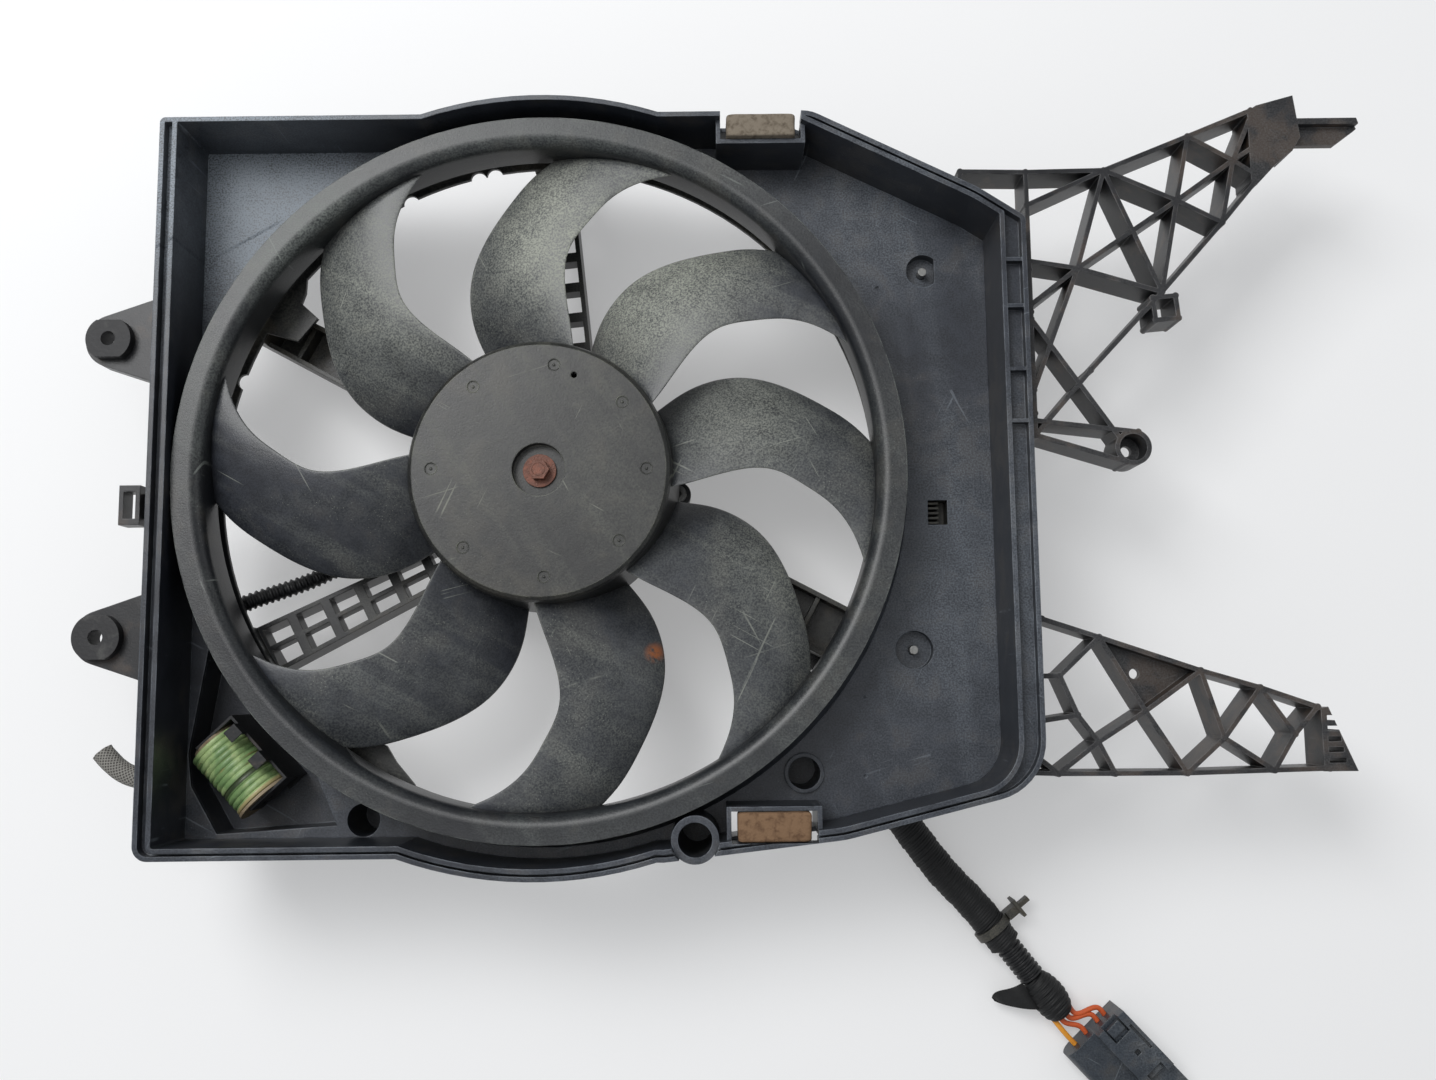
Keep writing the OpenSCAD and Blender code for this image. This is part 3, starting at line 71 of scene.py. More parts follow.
def tone(red: int, green: int, blue: int) -> Colour:
    """Turns an 8-bit screen colour into a linear one.

    Args:
        red: Red from 0 to 255.
        green: Green from 0 to 255.
        blue: Blue from 0 to 255.

    Returns:
        The linear colour, each part from 0 to 1.
    """
    screen = np.array([red, green, blue]) / 255.0
    linear = np.where(screen <= 0.04045, screen / 12.92, ((screen + 0.055) / 1.055) ** 2.4)
    return tuple(float(part) for part in linear)


# Shader building


class Signal:
    """A number made by a shader node, on which Python's operators add Math nodes."""

    def __init__(self, shader: "Shader", socket: bpy.types.NodeSocket) -> None:
        """Wraps a socket of a shader's node."""
        self.shader = shader
        self.socket = socket

    def _math(self, operation: str, first: Number, second: Number = 0.0) -> "Signal":
        """Adds one Math node and returns its output."""
        node = self.shader.node("ShaderNodeMath", {"operation": operation}, {0: first, 1: second})
        return Signal(self.shader, node.outputs[0])

    def __add__(self, other: Number) -> "Signal":
        """Sum of two signals."""
        return self._math("ADD", self, other)

    def __radd__(self, other: Number) -> "Signal":
        """Sum with a number on the left."""
        return self._math("ADD", other, self)

    def __sub__(self, other: Number) -> "Signal":
        """Difference of two signals."""
        return self._math("SUBTRACT", self, other)

    def __rsub__(self, other: Number) -> "Signal":
        """Difference with a number on the left."""
        return self._math("SUBTRACT", other, self)

    def __mul__(self, other: Number) -> "Signal":
        """Product of two signals."""
        return self._math("MULTIPLY", self, other)

    def __rmul__(self, other: Number) -> "Signal":
        """Product with a number on the left."""
        return self._math("MULTIPLY", other, self)

    def top(self, other: Number) -> "Signal":
        """The larger of two signals."""
        return self._math("MAXIMUM", self, other)

    def wave(self) -> "Signal":
        """Sine of the signal."""
        return self._math("SINE", self)

    def step(self, low: float, high: float) -> "Signal":
        """Maps the signal smoothly to 0 at low and to 1 at high.

        Args:
            low: Value that gives 0.
            high: Value that gives 1; it may be below low.

        Returns:
            The mapped signal.
        """
        node = self.shader.node("ShaderNodeMapRange", {"interpolation_type": "SMOOTHSTEP"},
                                {"Value": self, "From Min": low, "From Max": high})
        return Signal(self.shader, node.outputs[0])


class Shader:
    """A material's node tree with one Principled surface."""

    def __init__(self, name: str) -> None:
        """Makes an empty material of that name."""
        self.material = bpy.data.materials.new(name)
        self.material.use_nodes = True
        self.tree = self.material.node_tree
        self.tree.nodes.clear()
        self.output = self.tree.nodes.new("ShaderNodeOutputMaterial")
        self.surface = self.node("ShaderNodeBsdfPrincipled")
        self.tree.links.new(self.surface.outputs[0], self.output.inputs["Surface"])

    def feed(self, socket: bpy.types.NodeSocket, value: Any) -> None:
        """Links or sets one socket.

        Args:
            socket: The input socket.
            value: A signal, an output socket, a number, a colour or a vector.
        """
        if isinstance(value, Signal):
            value = value.socket
        if isinstance(value, bpy.types.NodeSocket):
            self.tree.links.new(value, socket)
        elif socket.type == "RGBA" and len(value) == 3:
            socket.default_value = (*value, 1.0)
        else:
            socket.default_value = value

    def node(self, kind: str, settings: Optional[dict[str, Any]] = None,
             sockets: Optional[dict[Union[str, int], Any]] = None) -> bpy.types.Node:
        """Adds a node.

        Args:
            kind: Blender's name of the node type.
            settings: Properties of the node, set first.
            sockets: Values or links of its inputs, by name or number.

        Returns:
            The node.
        """
        node = self.tree.nodes.new(kind)
        for name, value in (settings or {}).items():
            setattr(node, name, value)
        for key, value in (sockets or {}).items():
            self.feed(node.inputs[key], value)
        return node

    def place(self, stretch: Sequence[float] = (1, 1, 1),
              turn: Sequence[float] = (0, 0, 0)) -> bpy.types.NodeSocket:
        """Object coordinates in turned axes, multiplied along each of them.

        Args:
            stretch: Factor along each turned axis; a large one makes a pattern narrow there.
            turn: Turn of the axes about X, Y and Z in degrees.

        Returns:
            The vector socket.
        """
        source = self.node("ShaderNodeTexCoord").outputs["Object"]
        mapping = self.node("ShaderNodeMapping", {"vector_type": "TEXTURE"}, {
            "Vector": source, "Rotation": [math.radians(a) for a in turn],
            "Scale": [1 / part for part in stretch]})
        return mapping.outputs[0]

    def along(self) -> tuple[Signal, Signal]:
        """The two coordinates of the piece's own UV map."""
        source = self.node("ShaderNodeTexCoord").outputs["UV"]
        parts = self.node("ShaderNodeSeparateXYZ", None, {0: source})
        return Signal(self, parts.outputs[0]), Signal(self, parts.outputs[1])

    def noise(self, scale: float, detail: float = 4.0, place: Any = None, warp: float = 0.0) -> Signal:
        """Noise in object space.

        Args:
            scale: Waves per metre.
            detail: Number of finer layers.
            place: Vector socket, or None for plain object coordinates.
            warp: Distortion of the noise.

        Returns:
            A signal about 0.5.
        """
        node = self.node("ShaderNodeTexNoise", None, {
            "Vector": self.place() if place is None else place,
            "Scale": scale, "Detail": detail, "Distortion": warp})
        return Signal(self, node.outputs[0])

    def cells(self, scale: float, place: Any = None) -> Signal:
        """Distance to the nearest of scattered points, for specks."""
        node = self.node("ShaderNodeTexVoronoi", None, {
            "Vector": self.place() if place is None else place, "Scale": scale})
        return Signal(self, node.outputs["Distance"])

    def blend(self, first: Any, second: Any, factor: Number) -> bpy.types.NodeSocket:
        """Mixes two colours.

        Args:
            first: Colour at factor 0.
            second: Colour at factor 1.
            factor: Share of the second colour.

        Returns:
            The mixed colour's socket.
        """
        node = self.node("ShaderNodeMix", {"data_type": "RGBA"}, {0: factor, 6: first, 7: second})
        return node.outputs[2]

    def facing_up(self) -> Signal:
        """How far the surface faces up, from -1 to 1."""
        normal = self.node("ShaderNodeNewGeometry").outputs["Normal"]
        return Signal(self, self.node("ShaderNodeSeparateXYZ", None, {0: normal}).outputs[2])

    def apart(self, middle: Sequence[float]) -> Signal:
        """Distance from a vertical line through a point, in metres."""
        flat = self.node("ShaderNodeVectorMath", {"operation": "MULTIPLY"}, {0: self.place(), 1: (1, 1, 0)})
        node = self.node("ShaderNodeVectorMath", {"operation": "DISTANCE"},
                         {0: flat.outputs[0], 1: (*middle, 0.0)})
        return Signal(self, node.outputs["Value"])

    def past_line(self, start: Sequence[float], turn: float) -> Signal:
        """Signed distance past a line in plan, to its left.

        Args:
            start: A point on the line, in metres.
            turn: Direction of the line in degrees.

        Returns:
            The distance in metres.
        """
        across = (-math.sin(math.radians(turn)), math.cos(math.radians(turn)), 0.0)
        node = self.node("ShaderNodeVectorMath", {"operation": "DOT_PRODUCT"}, {0: self.place(), 1: across})
        return Signal(self, node.outputs["Value"]) - (start[0] * across[0] + start[1] * across[1])

    def soft_edge(self, radius: float) -> tuple[bpy.types.NodeSocket, Signal]:
        """Rounds the shading of sharp edges.

        Args:
            radius: Radius of the rounding.

        Returns:
            The rounded normal and a mask that is 1 on edges.
        """
        rounded = self.node("ShaderNodeBevel", {"samples": 4}, {"Radius": radius}).outputs[0]
        normal = self.node("ShaderNodeNewGeometry").outputs["Normal"]
        node = self.node("ShaderNodeVectorMath", {"operation": "DOT_PRODUCT"}, {0: rounded, 1: normal})
        return rounded, Signal(self, node.outputs["Value"]).step(0.995, 0.86)

    def bump(self, height: Signal, distance: float, normal: Any = None,
             strength: float = 1.0) -> bpy.types.NodeSocket:
        """Bump from a height signal.

        Args:
            height: Height from 0 to 1.
            distance: Height of 1 in metres.
            normal: Normal that it adds to.
            strength: Share of the effect.

        Returns:
            The bumped normal's socket.
        """
        sockets: dict[Union[str, int], Any] = {"Height": height, "Distance": distance, "Strength": strength}
        if normal is not None:
            sockets["Normal"] = normal
        return self.node("ShaderNodeBump", None, sockets).outputs[0]

    def coat(self, values: dict[str, Any]) -> bpy.types.Material:
        """Sets the Principled surface's sockets and returns the material."""
        for name, value in values.items():
            self.feed(self.surface.inputs[name], value)
        return self.material


# Finishes


@dataclass(frozen=True)
class Blot:
    """A soft round blot on a surface: its middle and radius in millimetres, and its share."""

    x: float
    y: float
    reach: float
    share: float = 1.0


@dataclass(frozen=True)
class Moulding:
    """Dark moulded plastic with a film of road dust, scuffs and rounded edges; its edges get painted
    highlights and faces that turn away from up get painted shade.
    """

    name: str
    base: Colour
    dust: Colour
    dust_share: float
    gloss: float
    scuffs: float = 0.5
    edge_radius: float = 0.0009
    # Share of the painted highlight on edges.
    edge_highlight_share: float = 0.25
    # Share of the painted shade on faces that turn away from up.
    side_shade_share: float = 0.35
    grime: Colour = tone(84, 74, 58)
    grime_share: float = 0.3
    drift: float = 8.0
    # Blots of dust; on the shroud, one is also a painted sheen.
    dust_and_sheen_blots: tuple[Blot, ...] = ()
    rusty: tuple[Blot, ...] = ()
    creases: tuple[tuple[float, float, float, float], ...] = ()

    def blots(self, shader: Shader, blots: Sequence[Blot]) -> Number:
        """Adds up soft blots, each 1 in its middle and 0 at its edge."""
        total: Number = 0.0
        for blot in blots:
            spot = shader.apart((blot.x * MM, blot.y * MM)).step(blot.reach * MM, blot.reach * 0.15 * MM)
            total = (spot * blot.share).top(total)
        return total

    def scratches(self, shader: Shader) -> Signal:
        """Few fine scratches: noise drawn out along four directions and let through here and there."""
        total: Number = 0.0
        for turn, scale in ((17, 8), (64, 9), (118, 7), (151, 10)):
            line = shader.noise(scale, 2, shader.place((1, 55, 1), (0, 0, turn))).step(0.685, 0.72)
            gate = shader.noise(21 + scale, 2).step(0.56, 0.64)
            total = (line * gate).top(total)
        return total * self.scuffs

    def build(self) -> bpy.types.Material:
        """Makes the material: a slow film of fine dust over the base, with specks and scratches; painted
        shade on faces that turn away from up, painted highlights on edges, and on the shroud a blot of
        painted sheen.

        Returns:
            The material.
        """
        shader = Shader(self.name)
        broad = shader.noise(5.5, 2, warp=0.3)
        patch = shader.noise(19, 4, warp=0.3)
        mottle = shader.noise(80, 6, warp=0.4)
        grain = shader.noise(1000, 2)
        streak = shader.noise(9, 5, shader.place((9, 0.7, 1), (0, 0, self.drift)))
        specks = shader.cells(520).step(0.2, 0.04) * patch.step(0.42, 0.6)
        up = shader.facing_up().step(-0.2, 0.95) * 0.8 + 0.2
        film = broad.step(0.36, 0.68) * 0.45 + patch.step(0.4, 0.75) * 0.3 + streak.step(0.48, 0.68) * 0.35
        # Blots add dust, and on the shroud also a painted sheen in its top-left corner.
        if self.dust_and_sheen_blots:
            film = film * 0.5 + self.blots(shader, self.dust_and_sheen_blots)
        speckle = grain.step(0.3, 0.72) * 1.2 + mottle.step(0.35, 0.62) * 0.2 + 0.15
        dust = film * speckle * up * self.dust_share
        lines = self.scratches(shader)
        rounded, edge = shader.soft_edge(self.edge_radius)
        shade = broad.step(0.3, 0.6) * 0.35 + mottle.step(0.38, 0.6) * 0.35 + grain.step(0.35, 0.6) * 0.3
        # A dark copy of the base for random mottling, and a darker one for painted shade on sides and
        # undersides.
        shaded, side = (tuple(part * share for part in self.base) for share in (0.4, 0.3))
        colour = shader.blend(shaded, self.base, shade)
        # Painted shade: faces that turn away from up are darkened towards the darker copy.
        colour = shader.blend(colour, side, up.step(0.75, 0.3) * self.side_shade_share)
        grime = (mottle * 0.5 + patch * 0.5).step(0.5, 0.62) * self.grime_share
        colour = shader.blend(colour, self.grime, grime)
        colour = shader.blend(colour, self.dust, dust)
        colour = shader.blend(colour, self.dust, specks * 0.9 * self.dust_share)
        if self.rusty:
            rust = self.blots(shader, self.rusty) * shader.noise(260, 4).step(0.34, 0.52)
            colour = shader.blend(colour, tone(150, 92, 58), rust)
        # A paler dust colour, for scratches and for painted highlights on edges.
        light = tuple(min(1.0, part * 1.5 + 0.02) for part in self.dust)
        colour = shader.blend(colour, light, lines * 0.4)
        # Painted highlight along the edges, in patches.
        colour = shader.blend(colour, light, edge * mottle.step(0.3, 0.65) * self.edge_highlight_share)
        normal = shader.bump(grain * 0.35 + mottle * 0.65, 0.0005, rounded, 0.35)
        for x, y, turn, reach in self.creases:
            near = shader.apart((x * MM, y * MM)).step(reach * MM, reach * 0.7 * MM)
            ridge = shader.past_line((x * MM, y * MM), turn).step(-0.0012, 0.0012) * near
            normal = shader.bump(ridge, 0.0008, normal)
        rough = dust * 0.3 + grain * 0.1 + lines * 0.1 + self.gloss
        return shader.coat({"Base Color": colour, "Roughness": rough, "Normal": normal})


@dataclass(frozen=True)
class Mottled:
    """A plain stuff with stains and grain, such as metal, rubber or ceramic."""

    name: str
    base: Colour
    stain: Colour
    stain_share: float
    rough: float
    metal: float = 0.0
    scale: float = 60.0
    grain: float = 600.0
    depth: float = 0.0002
    edge_radius: float = 0.0005

    def build(self) -> bpy.types.Material:
        """Makes the material: stains by noise, grain in the bump, and painted highlights on edges.

        Returns:
            The material.
        """
        shader = Shader(self.name)
        stain = shader.noise(self.scale, 6, warp=0.5)
        grain = shader.noise(self.grain, 4)
        spread = (stain * 0.75 + grain * 0.25).step(0.62 - 0.3 * self.stain_share, 0.7)
        mask = spread * min(1.0, self.stain_share + 0.3)
        rounded, edge = shader.soft_edge(self.edge_radius)
        colour = shader.blend(self.base, self.stain, mask)
        # A paler copy of the base, painted on edges as a highlight.
        light = tuple(min(1.0, part * 1.5 + 0.02) for part in self.base)
        colour = shader.blend(colour, light, edge * 0.35)
        return shader.coat({
            "Base Color": colour, "Roughness": grain * 0.12 + mask * 0.15 + self.rough,
            "Metallic": (1.0 - mask * 0.8) * self.metal,
            "Normal": shader.bump(grain, self.depth, rounded, 0.6)})


@dataclass(frozen=True)
class Enamel:
    """Green wire-wound enamel, streaked with rust in its grooves."""

    name: str
    base: Colour
    bright: Colour
    rust: Colour
    angle: float
    middle: tuple[float, float] = (-169.7, -158.9)
    slot_at: float = 7.6
    rim_at: float = 17.0
    rim: Colour = tone(172, 154, 112)

    def build(self) -> bpy.types.Material:
        """Makes the material: streaks run round the winding, with a dark slot and a tan rim across its axis.

        Returns:
            The material.
        """
        shader = Shader(self.name)
        streak = shader.noise(34, 5, shader.place((9, 0.8, 0.8), (0, 0, self.angle)), 0.4)
        patch = shader.noise(70, 5)
        grain = shader.noise(700, 4)
        colour = shader.blend(self.base, self.bright, patch.step(0.42, 0.66))
        colour = shader.blend(colour, self.rust, streak.step(0.56, 0.66) * 0.75)
        pore = tuple(part * 0.35 for part in self.base)
        colour = shader.blend(colour, pore, grain.step(0.6, 0.75) * 0.5)
        before = shader.past_line((self.middle[0] * MM, self.middle[1] * MM), self.angle + 90)
        from_slot = before + self.slot_at * MM
        # The slot is dark up to 1.1 mm from its middle and gone at 1.7 mm; both are squared here.
        in_slot = (from_slot * from_slot).step(3e-6, 1.2e-6)
        colour = shader.blend(colour, tone(28, 30, 24), in_slot * 0.85)
        at_rim = before.step(-self.rim_at * MM, -(self.rim_at + 1.2) * MM)
        colour = shader.blend(colour, self.rim, at_rim * 0.8)
        return shader.coat({
            "Base Color": colour, "Roughness": patch * 0.25 + 0.28,
            "Normal": shader.bump(grain * 0.5 + patch * 0.5, 0.0005, None, 0.7)})


@dataclass(frozen=True)
class Wrap:
    """Cloth or vinyl tape wound on a conduit, or a braided sleeve; patterns follow the UV map."""

    name: str
    base: Colour
    thread: Colour
    pitch: float
    lean: float
    crossed: bool
    rough: float

    def build(self) -> bpy.types.Material:
        """Makes the material: threads lean across the tube, one way or both ways.

        Returns:
            The material.
        """
        shader = Shader(self.name)
        length, girth = shader.along()
        wave = 2 * math.pi / self.pitch
        thread = ((length + girth * self.lean) * wave).wave()
        if self.crossed:
            thread = thread.top(((length - girth * self.lean) * wave).wave())
        grain = shader.noise(900, 4)
        patch = shader.noise(55, 4)
        mask = thread.step(-0.1, 0.9) * (grain * 0.6 + 0.55)
        colour = shader.blend(self.base, self.thread, mask)
        faded = tuple(part * 2.4 + 0.02 for part in self.thread)
        colour = shader.blend(colour, faded, patch.step(0.55, 0.8) * 0.3)
        return shader.coat({
            "Base Color": colour, "Roughness": grain * 0.2 + self.rough,
            "Normal": shader.bump(thread * 0.4 + grain * 0.6, 0.0004, None, 0.8)})


# Meshes


@dataclass
class Patch:
    """A grid of points whose columns, along the second parameter, close on themselves.

    Its rows, along the first parameter, may close too, or its two open ends may be capped by fans
    of faces about their middles.
    """

    grid: np.ndarray
    close_rows: bool = False
    caps: bool = False
    uv: Optional[np.ndarray] = None

    def faces(self, first: int) -> tuple[np.ndarray, np.ndarray, np.ndarray, list[list[int]]]:
        """Works out the points, faces and UVs of the patch.

        Args:
            first: Number of the first point in the whole mesh.

        Returns:
            Points, quads as point numbers, the quads' UVs, and cap triangles.
        """
        rows, columns, _ = self.grid.shape
        row = np.arange(rows if self.close_rows else rows - 1)
        i, j = np.meshgrid(row, np.arange(columns), indexing="ij")
        corners_i = np.stack([i, i + 1, i + 1, i], -1)
        corners_j = np.stack([j, j, j + 1, j + 1], -1)
        quads = first + (corners_i % rows) * columns + corners_j % columns
        uv = self.uv if self.uv is not None else np.zeros((rows + 1, columns + 1, 2))
        loops = uv[np.minimum(corners_i, uv.shape[0] - 1), np.minimum(corners_j, uv.shape[1] - 1)]
        points = self.grid.reshape(-1, 3)
        fans: list[list[int]] = []
        if self.caps:
            middle = np.stack([self.grid[0].mean(0), self.grid[-1].mean(0)])
            start = first + len(points)
            ring = np.arange(columns)
            after = (ring + 1) % columns
            low = np.stack([np.full(columns, start), first + after, first + ring], -1)
            base = first + (rows - 1) * columns
            high = np.stack([np.full(columns, start + 1), base + ring, base + after], -1)
            fans = np.concatenate([low, high]).tolist()
            points = np.concatenate([points, middle])
        return points, quads.reshape(-1, 4), loops.reshape(-1, 2), fans


@dataclass
class Piece:
    """A finished piece of the visual model."""

    name: str
    patches: list[Patch]
    body: Body
    slot: str
    material: bpy.types.Material
    replaces: tuple[str, ...] = ()
    crease: float = 40.0

    def build(self) -> bpy.types.Object:
        """Joins the patches into one closed mesh and puts it on its body.

        Returns:
            The object.
        """
        points, faces, loops, count = [], [], [], 0
        for patch in self.patches:
            some, quads, uv, fans = patch.faces(count)
            points.append(some)
            faces += quads.tolist() + fans
            loops.append(uv)
            loops.append(np.zeros((3 * len(fans), 2)))
            count += len(some)
        mesh = bpy.data.meshes.new(self.name)
        mesh.from_pydata((np.concatenate(points) * MM).tolist(), [], faces)
        mesh.uv_layers.new(name="UVMap").data.foreach_set(
            "uv", np.concatenate(loops).astype(np.float32).ravel())
        shape = bmesh.new()
        shape.from_mesh(mesh)
        bmesh.ops.remove_doubles(shape, verts=shape.verts, dist=1e-6)
        bmesh.ops.recalc_face_normals(shape, faces=shape.faces)
        shape.to_mesh(mesh)
        shape.free()
        mesh.shade_smooth()
        mesh.set_sharp_from_angle(angle=math.radians(self.crease))
        mesh.materials.append(self.material)
        piece = bpy.data.objects.new(self.name, mesh)
        bpy.context.scene.collection.objects.link(piece)
        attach(piece, self.body.value)
        if self.replaces:
            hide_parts(*self.replaces)
        log.info("piece %s: %d faces", self.name, len(mesh.polygons))
        return piece


def spline(knots: np.ndarray, values: np.ndarray, at: np.ndarray) -> np.ndarray:
    """Natural cubic spline: cubics whose slope and bend agree at the knots, with no bend at the ends.

    Args:
        knots: Rising parameters, one per row of values.
        values: Rows of numbers to pass through.
        at: Parameters to work the curve out at.

    Returns:
        One row of numbers per parameter.
    """
    step = np.diff(knots)
    slope = np.diff(values, axis=0) / step[:, None]
    inner = np.arange(1, len(knots) - 1)
    matrix = np.eye(len(knots))
    matrix[inner, inner - 1] = step[:-1]
    matrix[inner, inner] = 2 * (step[:-1] + step[1:])
    matrix[inner, inner + 1] = step[1:]
    right = np.zeros_like(values, dtype=float)
    right[1:-1] = 6 * np.diff(slope, axis=0)
    bend = np.linalg.solve(matrix, right)
    k = np.clip(np.searchsorted(knots, at) - 1, 0, len(step) - 1)
    x = (at - knots[k])[:, None]
    h = step[k][:, None]
    return (values[k] + x * (slope[k] - h * (2 * bend[k] + bend[k + 1]) / 6)
            + x ** 2 * bend[k] / 2 + x ** 3 * (bend[k + 1] - bend[k]) / (6 * h))


def reach_along(path: np.ndarray) -> np.ndarray:
    """Distance along a path to each of its points: the running sum of its straight steps."""
    return np.concatenate([[0], np.cumsum(np.linalg.norm(np.diff(path, axis=0), axis=1))])


def route(points: Sequence[Sequence[float]], count: int) -> np.ndarray:
    """Smooth curve through given points, by distance along them.

    Args:
        points: Points to pass through.
        count: Number of points wanted, evenly spread.

    Returns:
        The curve's points.
    """
    given = np.array(points, float)
    knots = reach_along(given)
    dense = spline(knots, given, np.linspace(0, knots[-1], 1200))
    reach = reach_along(dense)
    even = np.linspace(0, reach[-1], count)
    return np.stack([np.interp(even, reach, dense[:, axis]) for axis in range(3)], -1)


def tube(path: np.ndarray, radius: np.ndarray, sides: int = 32) -> Patch:
    """Tube about a path: each ring is the path's point plus the radius times a turning unit vector.

    Args:
        path: Points of the middle line.
        radius: Radius at each point, or at each point and side.
        sides: Number of points round the tube.

    Returns:
        The capped patch, with millimetres along and round it as UV.
    """
    tangent = np.gradient(path, axis=0)
    tangent /= np.linalg.norm(tangent, axis=1, keepdims=True)
    across = np.cross(tangent, [0, 0, 1])
    across /= np.linalg.norm(across, axis=1, keepdims=True)
    up = np.cross(across, tangent)
    turn = np.linspace(0, 2 * np.pi, sides, endpoint=False)
    radius = np.broadcast_to(radius if radius.ndim == 2 else radius[:, None], (len(path), sides))
    ring = np.cos(turn)[None, :, None] * across[:, None] + np.sin(turn)[None, :, None] * up[:, None]
    reach = reach_along(path)
    girth = np.linspace(0, 2 * np.pi, sides + 1) * float(radius.mean())
    uv = np.stack(np.broadcast_arrays(reach[:, None], girth[None]), -1)
    return Patch(path[:, None] + radius[..., None] * ring, caps=True, uv=uv)


def soften(corners: Sequence[Sequence[float]], radius: float, steps: int = 5) -> np.ndarray:
    """Rounds each corner of a closed outline by a parabola that touches both its edges.

    Args:
        corners: The outline's corners.
        radius: How far from a corner the parabola starts, at most half an edge.
        steps: Points on each corner.

    Returns:
        The rounded outline.
    """
    here = np.array(corners, float)
    out = np.roll(here, -1, 0) - here
    back = np.roll(here, 1, 0) - here
    reach_out = np.minimum(radius / np.linalg.norm(out, axis=1), 0.48)[:, None]
    reach_back = np.minimum(radius / np.linalg.norm(back, axis=1), 0.48)[:, None]
    start, end = here + back * reach_back, here + out * reach_out
    t = np.linspace(0, 1, steps)[None, :, None]
    curve = (1 - t) ** 2 * start[:, None] + 2 * t * (1 - t) * here[:, None] + t ** 2 * end[:, None]
    return curve.reshape(-1, here.shape[1])


def revolve(profile: np.ndarray, sides: int) -> Patch:
    """Turns a closed profile of radius and height about Z: x and y are the radius times cosine and sine."""
    turn = np.linspace(0, 2 * np.pi, sides, endpoint=False)[:, None]
    radius, height = profile[None, :, 0], profile[None, :, 1]
    grid = np.stack(np.broadcast_arrays(radius * np.cos(turn), radius * np.sin(turn), height), -1)
    return Patch(grid, close_rows=True)


def cushion(size: Sequence[float], power: float, steps: int = 40) -> np.ndarray:
    """Rounded block: a sphere's cosines and sines raised to a small power, which pushes it out to a box.

    Args:
        size: Full sizes along X, Y and Z.
        power: Small for sharp edges, 1 for an ellipsoid.
        steps: Rows and columns.

    Returns:
        Grid of points about the origin, with its poles on Z.
    """
    def press(wave: np.ndarray) -> np.ndarray:
        """Signed power of a wave."""
        return np.sign(wave) * np.abs(wave) ** power

    lift = np.linspace(-np.pi / 2, np.pi / 2, steps)[:, None]
    turn = np.linspace(0, 2 * np.pi, 2 * steps, endpoint=False)[None]
    half = np.array(size) / 2
    return np.stack(np.broadcast_arrays(
        half[0] * press(np.cos(lift)) * press(np.cos(turn)),
        half[1] * press(np.cos(lift)) * press(np.sin(turn)),
        half[2] * press(np.sin(lift))), -1)


def swing(points: np.ndarray, degrees: float, origin: Sequence[float]) -> np.ndarray:
    """Turns points about Z and then moves the origin to a place.

    Args:
        points: Points in their own frame.
        degrees: Turn about Z.
        origin: Where the frame's origin goes.

    Returns:
        The placed points.
    """
    c, s = math.cos(math.radians(degrees)), math.sin(math.radians(degrees))
    return points @ np.array([[c, s, 0], [-s, c, 0], [0, 0, 1]]) + np.array(origin, float)


def ripple(points: np.ndarray, scale: float, seed: int) -> np.ndarray:
    """Smooth unevenness from -1 to 1: the mean of sines of the points along fixed seeded directions."""
    draw = np.random.default_rng(seed)
    waves = draw.normal(size=(9, 3)) * scale
    phase = draw.uniform(0, 2 * np.pi, 9)
    return np.sin(points @ waves.T + phase).mean(-1) * 1.6


# Sub-assemblies


